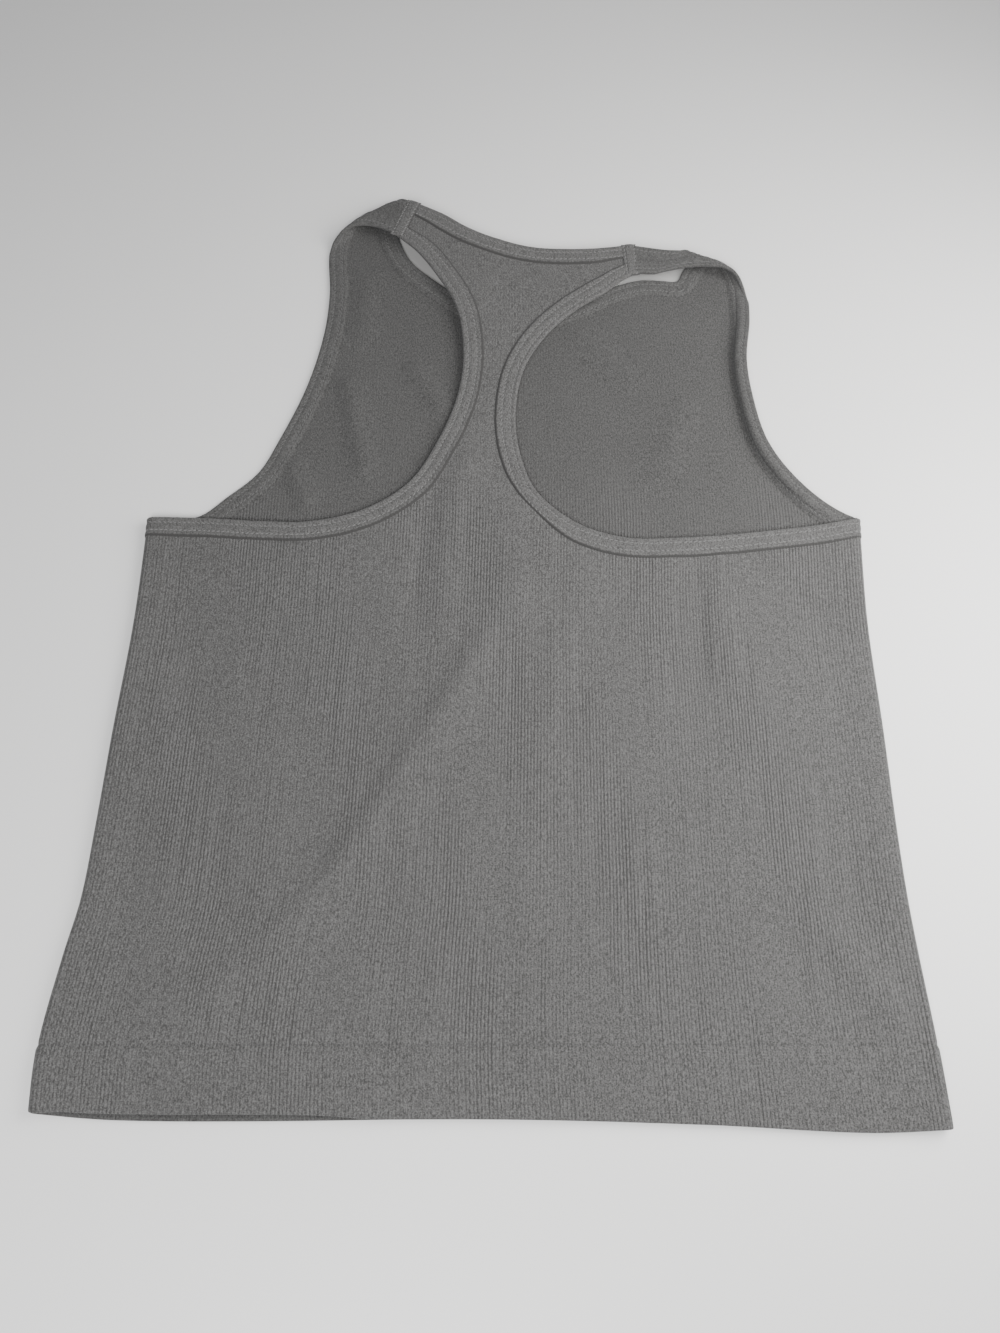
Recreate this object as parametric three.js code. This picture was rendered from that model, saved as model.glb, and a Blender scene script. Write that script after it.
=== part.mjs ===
// A racerback tank top in fine rib knit, laid flat with its back side up.
// Millimetres. X runs across the garment, Y from the hem to the shoulders, +Z up from the surface.
// Each piece is drawn on its flat pattern and then placed: straps and side folds roll over as cloth does.
import * as THREE from 'three';
import { mergeVertices } from 'three/addons/utils/BufferGeometryUtils.js';

// Cloth
const cloth = { thickness: 1.2, seamGap: 0.3, color: 0x747372 };
const welt = { depth: 29, step: 2, thickness: 1.9, proud: 0.35 };
const rib = { count: 238, relief: 0.35 };
const binding = {
  width: 12,
  shoulderWidth: 9.6,
  taper: 26,
  narrowRun: 26,
  thickness: 2.4,
  cornerLow: 0.3,
  cornerHigh: 0.7,
  sunk: 0.4,
  sunkFade: 14,
  color: 0x6f6e6d,
};
const flatStops = [0, 0.94];
const curledStops = [0, 0.25, 0.45, 0.65, 0.82, 0.95];

// Lie of the two layers
const sideRoll = { radius: 2.8, spread: 13, fade: 20 };
const strapRoll = { radius: 5.5, steps: 8 };
const rollSteps = 4;
const backLift = {
  body: 2,
  hem: 0.5,
  hemFade: 16,
  armpit: 3.3,
  armpitFrom: 255,
  armpitTo: 275,
  shoulder: 9,
  shoulderFrom: 350,
  shoulderTo: 497,
  lean: 0.23,
};
const backSag = { depth: 1.8, x: 12, spread: 34, from: 430, to: 490 };

// Spacing of the points on an edge, and of the stations of the bindings
const edgeSpacing = 1.5;
const frontSpacing = 5;
const backSpacing = 8;

// How closely the back's plain underside follows its cut lines, and how far apart its columns are
const underside = { stray: 0.12, widest: 10 };

// Points nearer than this are one point
const weld = { reach: 1e-4, digits: 4 };

// Side folds, seen from above
const sides = [
  { y: 0, left: -205.5, right: 196.5 },
  { y: 30, left: -206.5, right: 195.5 },
  { y: 70, left: -201.5, right: 193 },
  { y: 96, left: -197.2, right: 191.8 },
  { y: 130, left: -195.5, right: 191.5 },
  { y: 180, left: -194, right: 192 },
  { y: 240, left: -191.5, right: 192 },
  { y: 303, left: -192, right: 196 },
];

// Hem edge, which wanders a little
const hem = [
  { x: -210, y: 3.5 },
  { x: -170, y: 0.5 },
  { x: -110, y: 0 },
  { x: 0, y: 1 },
  { x: 90, y: -1.2 },
  { x: 160, y: -4.6 },
  { x: 200, y: -3.2 },
];

// Shoulder seams, on the back as it lies and on the flat pattern of the front
const shoulders = {
  backLeft: { neckX: -53, neckY: 525.5, armX: -63, armY: 498.5 },
  backRight: { neckX: 78, neckY: 490.5, armX: 79.5, armY: 467.5 },
  frontLeft: { neckX: -67.3, neckY: 544, armX: -99, armY: 549.5 },
  frontRight: { neckX: 118, neckY: 530, armX: 139.5, armY: 529 },
};

// Free edges, from the side fold or the left shoulder on, and 8 mm past each shoulder seam
const pastShoulder = 8;
const edges = {
  leftBackArmhole: [
    { x: -200, y: 302.5 },
    { x: -163, y: 302.5 },
    { x: -128, y: 300.5 },
    { x: -104, y: 300.5 },
    { x: -75, y: 308 },
    { x: -51, y: 325 },
    { x: -35, y: 353 },
    { x: -24, y: 386 },
    { x: -21.5, y: 415 },
    { x: -26, y: 445 },
    { x: -39, y: 470 },
    { x: -51, y: 487 },
    { x: -63, y: 498.5 },
    { x: -68.8, y: 504 },
  ],
  rightBackArmhole: [
    { x: 204, y: 303.5 },
    { x: 169, y: 297.5 },
    { x: 127, y: 292.5 },
    { x: 92, y: 290 },
    { x: 67, y: 290.5 },
    { x: 41, y: 300 },
    { x: 20, y: 320 },
    { x: 11, y: 346 },
    { x: 9, y: 373 },
    { x: 14, y: 401 },
    { x: 27, y: 424 },
    { x: 45, y: 442 },
    { x: 64, y: 455.5 },
    { x: 72, y: 462.5 },
    { x: 79.5, y: 467.5 },
    { x: 87, y: 470 },
  ],
  backNeck: [
    { x: -60, y: 529.3 },
    { x: -53, y: 525.5 },
    { x: -36, y: 516.5 },
    { x: -18, y: 504.5 },
    { x: 6, y: 494.5 },
    { x: 30, y: 489 },
    { x: 55, y: 488 },
    { x: 78, y: 490.5 },
    { x: 86, y: 491.4 },
  ],
  leftFrontArmhole: [
    { x: -200, y: 302 },
    { x: -178, y: 302.5 },
    { x: -164, y: 305.5 },
    { x: -151, y: 317 },
    { x: -135, y: 333 },
    { x: -125, y: 355 },
    { x: -112, y: 392 },
    { x: -104.5, y: 430 },
    { x: -103, y: 460 },
    { x: -105, y: 495 },
    { x: -97.5, y: 532 },
    { x: -99, y: 549.5 },
    { x: -99.7, y: 557.5 },
  ],
  rightFrontArmhole: [
    { x: 204, y: 302.5 },
    { x: 192, y: 305 },
    { x: 178.5, y: 313.5 },
    { x: 164, y: 330 },
    { x: 152.5, y: 352.5 },
    { x: 147, y: 384 },
    { x: 146, y: 408 },
    { x: 151, y: 440 },
    { x: 147.5, y: 475 },
    { x: 141.5, y: 505 },
    { x: 139.5, y: 529 },
    { x: 138.9, y: 537 },
  ],
  frontNeck: [
    { x: -68, y: 552 },
    { x: -67.3, y: 544 },
    { x: -65.5, y: 525 },
    { x: -62.5, y: 504 },
    { x: -54, y: 485 },
    { x: -36, y: 467.5 },
    { x: -12, y: 450 },
    { x: 14, y: 443 },
    { x: 40, y: 450 },
    { x: 66, y: 464.5 },
    { x: 84, y: 470.5 },
    { x: 98, y: 470.5 },
    { x: 107.5, y: 470 },
    { x: 111.5, y: 478 },
    { x: 116.5, y: 491 },
    { x: 120.5, y: 505 },
    { x: 120, y: 518 },
    { x: 118, y: 530 },
    { x: 119, y: 538 },
  ],
};

// Lines over which the front straps roll back on to the top, on the flat pattern
const strapFolds = [
  { normalX: -0.58, normalY: 0.8146, reach: 461.2, bow: 4.5, middle: 235.5, half: 26 },
  { normalX: 0.7071, normalY: 0.7071, reach: 421.5, bow: 8, middle: -231, half: 32 },
];

// Curl of the right front armhole binding, by height on the pattern
const curls = [
  { y: 302, degrees: 0 },
  { y: 312, degrees: 35 },
  { y: 332, degrees: 80 },
  { y: 360, degrees: 105 },
  { y: 410, degrees: 105 },
  { y: 427, degrees: 72 },
  { y: 440, degrees: 15 },
  { y: 447, degrees: 0 },
  { y: 530, degrees: 0 },
];
const curl = { flat: 3, least: 0.02 };

// Long soft creases of the back: their crests and sizes
const creases = [
  {
    height: 2.1, spread: 13,
    crest: [{ x: 4, y: 262 }, { x: -6, y: 233 }, { x: -30, y: 205 }, { x: -62, y: 132 }, { x: -130, y: 59 }],
  },
  { height: -0.4, spread: 11, crest: [{ x: 20, y: 205 }, { x: 10, y: 130 }, { x: 2, y: 75 }] },
  { height: 0.9, spread: 9, crest: [{ x: 152, y: 78 }, { x: 182, y: 42 }] },
];

const smooth = (from, to, at) => THREE.MathUtils.smoothstep(at, from, to);
const mix = THREE.MathUtils.lerp;

// Value of one column of a table at a place between its rows
function lookUp(table, given, wanted, at) {
  const rising = table[table.length - 1][given] > table[0][given];
  const next = table.findIndex((row) => (rising ? row[given] >= at : row[given] <= at));
  if (next === 0) return table[0][wanted];
  if (next < 0) return table[table.length - 1][wanted];
  const [a, b] = [table[next - 1], table[next]];
  const share = (at - a[given]) / (b[given] - a[given]);
  const before = table[next - 2] ?? a;
  const after = table[next + 1] ?? b;
  const span = b[given] - a[given];
  const slopeA = (b[wanted] - before[wanted]) / (b[given] - before[given]);
  const slopeB = (after[wanted] - a[wanted]) / (after[given] - a[given]);
  const s2 = share * share;
  const s3 = s2 * share;
  return (2 * s3 - 3 * s2 + 1) * a[wanted] + (s3 - 2 * s2 + share) * span * slopeA
    + (3 * s2 - 2 * s3) * b[wanted] + (s3 - s2) * span * slopeB;
}

const curlAt = (y) => Math.max(0, lookUp(curls, 'y', 'degrees', y));
const hemAt = (x) => lookUp(hem, 'x', 'y', x);
const sideTop = sides[sides.length - 1].y;
const sideAt = (y, side) => lookUp(sides, 'y', side < 0 ? 'left' : 'right', Math.min(y, sideTop));
const rollStart = (y, side) => sideAt(y, side) - side * sideRoll.radius;
const rollLength = sideRoll.radius * Math.PI / 2 - cloth.seamGap / 2;
const patternEnd = (y, side) => rollStart(y, side) + side * rollLength;

// Distance from a point to a crest line
function distanceTo(crest, x, y) {
  let least = Infinity;
  for (let i = 1; i < crest.length; i += 1) {
    const [a, b] = [crest[i - 1], crest[i]];
    const [dx, dy] = [b.x - a.x, b.y - a.y];
    const share = THREE.MathUtils.clamp(((x - a.x) * dx + (y - a.y) * dy) / (dx * dx + dy * dy), 0, 1);
    least = Math.min(least, Math.hypot(x - a.x - share * dx, y - a.y - share * dy));
  }
  return least;
}

// Height of the back panel's underside
function backHeight(x, y) {
  let height = mix(backLift.body, backLift.armpit, smooth(backLift.armpitFrom, backLift.armpitTo, y));
  height += backLift.hem * (1 - smooth(welt.depth, welt.depth + backLift.hemFade, y));
  const leaned = y + backLift.lean * x;
  height = mix(height, backLift.shoulder, smooth(backLift.shoulderFrom, backLift.shoulderTo, leaned));
  const sagShape = Math.exp(-(((x - backSag.x) / backSag.spread) ** 2));
  height -= backSag.depth * smooth(backSag.from, backSag.to, leaned) * sagShape;
  for (const crease of creases) {
    height += crease.height * Math.exp(-((distanceTo(crease.crest, x, y) / crease.spread) ** 2) / 2);
  }
  const top = 2 * sideRoll.radius - cloth.thickness;
  for (const side of [-1, 1]) {
    const inward = Math.max(side * (rollStart(y, side) - x), 0);
    const share = y > sideTop + sideRoll.fade ? 0 : Math.exp(-((inward / sideRoll.spread) ** 2));
    height = mix(height, top, share);
  }
  return height;
}

// Place of a pattern point of the back at a height above the panel's underside
function placeBack(x, y, height) {
  const inner = sideRoll.radius - cloth.thickness;
  for (const side of [-1, 1]) {
    const start = rollStart(y, side);
    const beyond = side * (x - start);
    if (beyond > 0) {
      const angle = beyond / sideRoll.radius;
      const radius = inner + height;
      return new THREE.Vector3(
        start + side * (radius * Math.sin(angle)),
        y,
        sideRoll.radius + radius * Math.cos(angle),
      );
    }
  }
  return new THREE.Vector3(x, y, backHeight(x, y) + height);
}

// How far a pattern point of the front lies past a strap's fold line
function pastFold(fold, x, y) {
  const along = x * fold.normalY - y * fold.normalX;
  const bow = fold.bow * Math.max(0, 1 - ((along - fold.middle) / fold.half) ** 2);
  return x * fold.normalX + y * fold.normalY - fold.reach - bow;
}

// Place of a pattern point of the front at a height above the surface that it lies on
function placeFront(x, y, height) {
  for (const side of [-1, 1]) {
    const start = rollStart(y, side);
    const beyond = side * (x - start);
    if (beyond > 0) {
      const angle = beyond / sideRoll.radius;
      const radius = sideRoll.radius - height;
      return new THREE.Vector3(
        start + side * radius * Math.sin(angle),
        y,
        sideRoll.radius - radius * Math.cos(angle),
      );
    }
  }
  for (const fold of strapFolds) {
    const beyond = pastFold(fold, x, y);
    if (beyond > 0) {
      const radius = strapRoll.radius - height;
      const angle = Math.min(beyond / strapRoll.radius, Math.PI);
      const straight = Math.max(beyond - strapRoll.radius * Math.PI, 0);
      const shift = radius * Math.sin(angle) - straight - beyond;
      return new THREE.Vector3(
        x + fold.normalX * shift,
        y + fold.normalY * shift,
        strapRoll.radius - radius * Math.cos(angle),
      );
    }
  }
  return new THREE.Vector3(x, y, height);
}

// A free edge with its seam line and the panel's cut line, as points that match one to one.
// hand is 1 where the cloth lies left of the direction of travel, and -1 where it lies right.
// narrow gives how far past each end the shoulder width runs.
// pinch is a stretch where the binding rolls under.
function makeEdge(table, hand, narrow, pinch) {
  const knots = table.map((row) => new THREE.Vector3(row.x, row.y, 0));
  const spine = new THREE.CatmullRomCurve3(knots, false, 'centripetal');
  const length = spine.getLength();
  const count = Math.round(length / edgeSpacing);
  const free = spine.getSpacedPoints(count);
  const seam = [];
  const cut = [];
  free.forEach((point, i) => {
    const tangent = free[Math.min(i + 1, count)].clone().sub(free[Math.max(i - 1, 0)]).normalize();
    const inward = new THREE.Vector3(-tangent.y * hand, tangent.x * hand, 0);
    const share = i / count;
    const fromStart = narrow.start === Infinity ? Infinity : share * length - narrow.start;
    const fromEnd = (1 - share) * length - narrow.end;
    const near = Math.min(fromStart, fromEnd) - pastShoulder;
    const full = mix(binding.shoulderWidth, binding.width, smooth(0, binding.taper, near));
    const width = full - pinch.depth * Math.exp(-(((share - pinch.share) / pinch.spread) ** 2));
    seam.push(point.clone().addScaledVector(inward, width));
    cut.push(point.clone().addScaledVector(inward, width + cloth.seamGap));
  });
  return { free, seam, cut };
}

const even = { share: 0.5, depth: 0, spread: 1 };
const pinched = { share: 0.495, depth: 3, spread: 0.05 };
const leftBackArmhole = makeEdge(edges.leftBackArmhole, -1, { start: Infinity, end: 0 }, even);
const rightBackArmhole = makeEdge(edges.rightBackArmhole, 1, { start: Infinity, end: 0 }, pinched);
const backNeck = makeEdge(edges.backNeck, -1, { start: 0, end: 0 }, even);
const leftFrontArmhole = makeEdge(edges.leftFrontArmhole, -1, { start: Infinity, end: 0 }, even);
const rightFrontNarrow = { start: Infinity, end: binding.narrowRun };
const rightFrontArmhole = makeEdge(edges.rightFrontArmhole, 1, rightFrontNarrow, even);
const frontNeck = makeEdge(edges.frontNeck, -1, { start: 0, end: binding.narrowRun }, even);

// Point at a fractional index of a line
function pointAt(line, index) {
  const low = Math.min(Math.max(Math.floor(index), 0), line.length - 2);
  return line[low].clone().lerp(line[low + 1], index - low);
}

// Fractional index at which a measure taken along a line first reaches a value
function indexWhere(line, measure, value) {
  for (let i = 1; i < line.length; i += 1) {
    const before = measure(line[i - 1]) - value;
    const after = measure(line[i]) - value;
    if (before === 0) return i - 1;
    if (before * after <= 0) return i - 1 + before / (before - after);
  }
  return null;
}

// One closed body facing out, from loose triangles
function closedGeometry(triangles) {
  let volume = 0;
  for (const [a, b, c] of triangles) volume += a.dot(b.clone().cross(c));
  const points = [];
  for (const [a, b, c] of triangles) points.push(...(volume < 0 ? [a, c, b] : [a, b, c]));
  const loose = new THREE.BufferGeometry().setFromPoints(points);
  const geometry = mergeVertices(loose, weld.reach);
  const index = geometry.getIndex().array;
  const kept = [];
  for (let i = 0; i < index.length; i += 3) {
    const [a, b, c] = index.slice(i, i + 3);
    if (a !== b && b !== c && c !== a) kept.push(a, b, c);
  }
  geometry.setIndex(kept);
  return geometry;
}

function makeMesh(name, triangles, color) {
  const material = new THREE.MeshStandardMaterial({ color, roughness: 0.95, metalness: 0 });
  const mesh = new THREE.Mesh(closedGeometry(triangles), material);
  mesh.name = name;
  return mesh;
}

// Triangles of a flat polygon, all turned the same way
function triangulate(polygon) {
  const contour = polygon.map((point) => new THREE.Vector2(point.x, point.y));
  return THREE.ShapeUtils.triangulateShape(contour, []).map(([a, b, c]) => {
    const [p, q, r] = [polygon[a], polygon[b], polygon[c]];
    const area = (q.x - p.x) * (r.y - p.y) - (q.y - p.y) * (r.x - p.x);
    return area < 0 ? [p, r, q] : [p, q, r];
  });
}

const quad = (a, b, c, d) => [[a, b, c], [a, c, d]];

// Two lines of points joined by quads
function joinLines(lower, upper) {
  const faces = [];
  for (let i = 1; i < lower.length; i += 1) {
    faces.push(...quad(lower[i - 1], lower[i], upper[i], upper[i - 1]));
  }
  return faces;
}

// Section of a binding, from its seam edge round its free edge, as distances from the seam and heights
function bindingSection(width, low, degrees, stops = flatStops) {
  const high = low + binding.thickness;
  const outline = [];
  for (const stop of stops) outline.push({ along: stop * width, height: low });
  outline.push({ along: width, height: low + binding.cornerLow * binding.thickness });
  outline.push({ along: width, height: low + binding.cornerHigh * binding.thickness });
  for (const stop of [...stops].reverse()) outline.push({ along: stop * width, height: high });
  const turn = THREE.MathUtils.degToRad(degrees);
  if (turn < curl.least) return outline;
  const radius = (width - curl.flat) / turn;
  const middle = low + binding.thickness / 2;
  return outline.map(({ along, height }) => {
    const angle = Math.max(along - curl.flat, 0) / radius;
    const reach = radius + middle - height;
    return {
      along: Math.min(along, curl.flat) + reach * Math.sin(angle),
      height: middle + radius - reach * Math.cos(angle),
    };
  });
}

// A binding swept through stations, each a pair of fractional indices on its free edge and seam line
function makeBinding(name, edge, stations, sectionOf, place) {
  const rings = stations.map(([freeIndex, seamIndex]) => {
    const free = pointAt(edge.free, freeIndex);
    const seam = pointAt(edge.seam, seamIndex);
    const outward = free.clone().sub(seam);
    const width = outward.length();
    outward.normalize();
    return sectionOf(width, free).map(({ along, height }) => (
      place(seam.x + outward.x * along, seam.y + outward.y * along, height)
    ));
  });
  const triangles = [];
  for (let i = 1; i < rings.length; i += 1) {
    const [a, b] = [[...rings[i - 1], rings[i - 1][0]], [...rings[i], rings[i][0]]];
    triangles.push(...joinLines(a, b));
  }
  const section = sectionOf(binding.width, new THREE.Vector3(0, 0, 0));
  const flatSection = section.map((p) => new THREE.Vector2(p.along, p.height));
  const caps = THREE.ShapeUtils.triangulateShape(flatSection, []);
  const first = rings[0];
  const last = rings[rings.length - 1];
  const cap = (ring, [a, b, c]) => [ring[a], ring[b], ring[c]];
  const signed = (tri) => {
    const [p, q, r] = tri.map((i) => section[i]);
    return (q.along - p.along) * (r.height - p.height) - (q.height - p.height) * (r.along - p.along);
  };
  for (const tri of caps) {
    const turned = signed(tri) < 0 ? [tri[0], tri[2], tri[1]] : tri;
    triangles.push(cap(first, [turned[0], turned[2], turned[1]]));
    triangles.push(cap(last, turned));
  }
  return makeMesh(name, triangles, binding.color);
}

// Stations spread evenly between two indices
function spread(from, to, spacing) {
  const count = Math.max(1, Math.round(Math.abs(to - from) * edgeSpacing / spacing));
  return Array.from({ length: count + 1 }, (_, i) => mix(from, to, i / count));
}

// Fractional index at which a line meets a shoulder seam, or stops short of it by a gap
function shoulderIndex(line, shoulder, short) {
  const [dx, dy] = [shoulder.armX - shoulder.neckX, shoulder.armY - shoulder.neckY];
  const middle = line[Math.floor(line.length / 2)];
  const offset = (p) => ((p.x - shoulder.neckX) * dy - (p.y - shoulder.neckY) * dx) / Math.hypot(dx, dy);
  const hand = Math.sign(offset(middle));
  const neckEnd = new THREE.Vector3(shoulder.neckX, shoulder.neckY, 0);
  const nearStart = line[0].distanceTo(neckEnd) < 2 * pastShoulder;
  const search = nearStart ? line : [...line].reverse();
  const index = indexWhere(search, (p) => hand * offset(p), short);
  return nearStart ? index : line.length - 1 - index;
}

const foldOf = (side) => strapFolds[side < 0 ? 0 : 1];

// Share of a line nearest its other end, where no fold is looked for
const beforeStrap = 0.4;

// Rows past a fold line, as indices: through the roll, and then shares of the rest of the strap
function strapRows(line, side, towardEnd) {
  const fold = foldOf(side);
  const shoulder = side < 0 ? shoulders.frontLeft : shoulders.frontRight;
  const last = shoulderIndex(line, shoulder, cloth.seamGap);
  const search = towardEnd ? line : [...line].reverse();
  const from = Math.floor(search.length * beforeStrap);
  const tail = search.slice(from);
  const rows = [];
  for (let i = 0; i <= strapRoll.steps; i += 1) {
    const past = (strapRoll.radius * Math.PI * i) / strapRoll.steps;
    const index = from + indexWhere(tail, (p) => pastFold(fold, p.x, p.y), past);
    rows.push(towardEnd ? index : line.length - 1 - index);
  }
  const rolled = rows[strapRoll.steps];
  return rows.concat((rolled + last) / 2, last);
}

// Indices on a line through a side fold's roll, from its end to where the cloth lies flat
function rollRows(line, side) {
  const beyond = (p) => side * (p.x - rollStart(p.y, side));
  const indexAt = (_, i) => indexWhere(line, beyond, rollLength * (1 - i / rollSteps));
  return Array.from({ length: rollSteps + 1 }, indexAt);
}

// Pairs of indices on a free edge and its seam line between two rows that aren't square to them
function between(first, last, spacing) {
  const settle = 3;
  const run = spread(first[0], last[0], spacing);
  return run.map((index, i) => {
    const fromFirst = Math.max(0, 1 - i / settle);
    const fromLast = Math.max(0, 1 - (run.length - 1 - i) / settle);
    return [index, index + fromFirst * (first[1] - first[0]) + fromLast * (last[1] - last[0])];
  });
}

const pair = (a, b) => a.map((index, i) => [index, b[i]]);
const rollPairs = (edge, side) => pair(rollRows(edge.free, side), rollRows(edge.seam, side));
const strapPairs = (edge, side, towardEnd) => (
  pair(strapRows(edge.free, side, towardEnd), strapRows(edge.seam, side, towardEnd))
);
const shoulderPair = (edge, shoulder) => (
  [edge.free, edge.seam].map((line) => shoulderIndex(line, shoulder, 0))
);

// Stations of the front bindings, shared with the panel that they edge
const frontStations = {};
for (const [name, edge, side] of [['left', leftFrontArmhole, -1], ['right', rightFrontArmhole, 1]]) {
  const roll = rollPairs(edge, side);
  const strap = strapPairs(edge, side, true);
  frontStations[name] = { roll, run: between(roll[rollSteps], strap[0], frontSpacing), strap };
}
frontStations.neck = { left: strapPairs(frontNeck, -1, false), right: strapPairs(frontNeck, 1, true) };
frontStations.neck.run = between(frontStations.neck.left[0], frontStations.neck.right[0], frontSpacing);

function makeBackArmhole(name, edge, side) {
  const shoulder = side < 0 ? shoulders.backLeft : shoulders.backRight;
  const roll = rollPairs(edge, side);
  const run = between(roll[rollSteps], shoulderPair(edge, shoulder), backSpacing);
  const stations = roll.slice(0, -1).concat(run);
  const extraSink = binding.thickness - cloth.thickness - binding.sunk;
  const section = (width, free) => {
    const inward = side * (rollStart(free.y, side) - free.x);
    const sink = binding.sunk + extraSink * (1 - smooth(0, binding.sunkFade, inward));
    return bindingSection(width, -sink, 0);
  };
  return makeBinding(name, edge, stations, section, placeBack);
}

function makeFrontArmhole(name, edge, side) {
  const { roll, run, strap } = frontStations[side < 0 ? 'left' : 'right'];
  const stations = [...roll.slice(0, -1), ...run, ...strap.slice(1)];
  const section = (width, free) => (
    side < 0 ? bindingSection(width, 0, 0) : bindingSection(width, 0, curlAt(free.y), curledStops)
  );
  return makeBinding(name, edge, stations, section, placeFront);
}

function makeBackNeck() {
  const ends = [shoulders.backLeft, shoulders.backRight].map((one) => shoulderPair(backNeck, one));
  const section = (width) => bindingSection(width, -binding.sunk, 0);
  const stations = between(ends[0], ends[1], backSpacing);
  return makeBinding('neck_binding_back', backNeck, stations, section, placeBack);
}

function makeFrontNeck() {
  const { left, run, right } = frontStations.neck;
  const stations = [...left.slice(1).reverse(), ...run, ...right.slice(1)];
  const section = (width) => bindingSection(width, 0, 0);
  return makeBinding('neck_binding_front', frontNeck, stations, section, placeFront);
}

// Front panel: a flat sheet with rolled sides and two straps, thickened
function makeFrontPanel() {
  const sideRows = [0, welt.depth, welt.depth + welt.step, 70, 115, 160, 205, 250];
  const sideColumns = (side, edge) => rollRows(edge.cut, side).reverse().map((topIndex, i) => {
    const past = (rollLength * i) / rollSteps;
    const column = sideRows.map((y) => {
      const x = rollStart(y, side) + side * past;
      return new THREE.Vector3(x, y === 0 ? hemAt(x) : y, 0);
    });
    return column.concat(pointAt(edge.cut, topIndex));
  });
  const left = sideColumns(-1, leftFrontArmhole);
  const right = sideColumns(1, rightFrontArmhole);

  // Strap rows, each from the armhole's cut line to the neck's
  const strap = (side, edge) => {
    const outer = strapRows(edge.cut, side, true);
    const inner = strapRows(frontNeck.cut, side, side > 0);
    return outer.map((index, i) => [pointAt(edge.cut, index), pointAt(frontNeck.cut, inner[i])]);
  };
  const leftStrap = strap(-1, leftFrontArmhole);
  const rightStrap = strap(1, rightFrontArmhole);
  const cutRun = (edge, run) => run.slice(1, -1).map(([, seamIndex]) => pointAt(edge.cut, seamIndex));
  const leftRun = cutRun(leftFrontArmhole, frontStations.left.run);
  const rightRun = cutRun(rightFrontArmhole, frontStations.right.run);
  const neckRun = cutRun(frontNeck, frontStations.neck.run);
  const hemLine = hem.slice(1, -1).map((row) => new THREE.Vector3(row.x, row.y, 0));
  const polygons = [
    [left[0][0], ...hemLine, right[0][0], right[0][1], left[0][1]],
    [left[0][1], right[0][1], right[0][2], left[0][2]],
    [
      ...left[0].slice(2).reverse(),
      ...right[0].slice(2),
      ...rightRun,
      ...rightStrap[0],
      ...neckRun.reverse(),
      ...[...leftStrap[0]].reverse(),
      ...leftRun.reverse(),
    ],
  ];
  for (const columns of [left, right]) {
    for (let i = 1; i < columns.length; i += 1) {
      for (let j = 1; j < columns[i].length; j += 1) {
        polygons.push([columns[i - 1][j - 1], columns[i][j - 1], columns[i][j], columns[i - 1][j]]);
      }
    }
  }
  for (const rows of [leftStrap, rightStrap]) {
    for (let i = 1; i < rows.length; i += 1) {
      polygons.push([rows[i - 1][0], rows[i][0], rows[i][1], rows[i - 1][1]]);
    }
  }
  const weltEnd = welt.depth + welt.step;
  const thicknessAt = (y) => mix(welt.thickness, cloth.thickness, smooth(welt.depth, weltEnd, y));
  const low = (p) => placeFront(p.x, p.y, 0);
  const high = (p) => placeFront(p.x, p.y, thicknessAt(p.y));
  return makeMesh('front_panel', thicken(polygons.flatMap(triangulate), low, high), cloth.color);
}

// A closed body from flat triangles: their upper and lower places, and walls on the open edges
function thicken(flat, low, high) {
  const key = (p) => `${p.x.toFixed(weld.digits)},${p.y.toFixed(weld.digits)}`;
  const open = new Map();
  const triangles = [];
  for (const [a, b, c] of flat) {
    triangles.push([high(a), high(b), high(c)], [low(a), low(c), low(b)]);
    for (const [p, q] of [[a, b], [b, c], [c, a]]) {
      const back = `${key(q)} ${key(p)}`;
      if (open.has(back)) open.delete(back);
      else open.set(`${key(p)} ${key(q)}`, [p, q]);
    }
  }
  for (const [p, q] of open.values()) triangles.push(...quad(low(p), low(q), high(q), high(p)));
  return triangles;
}

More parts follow.
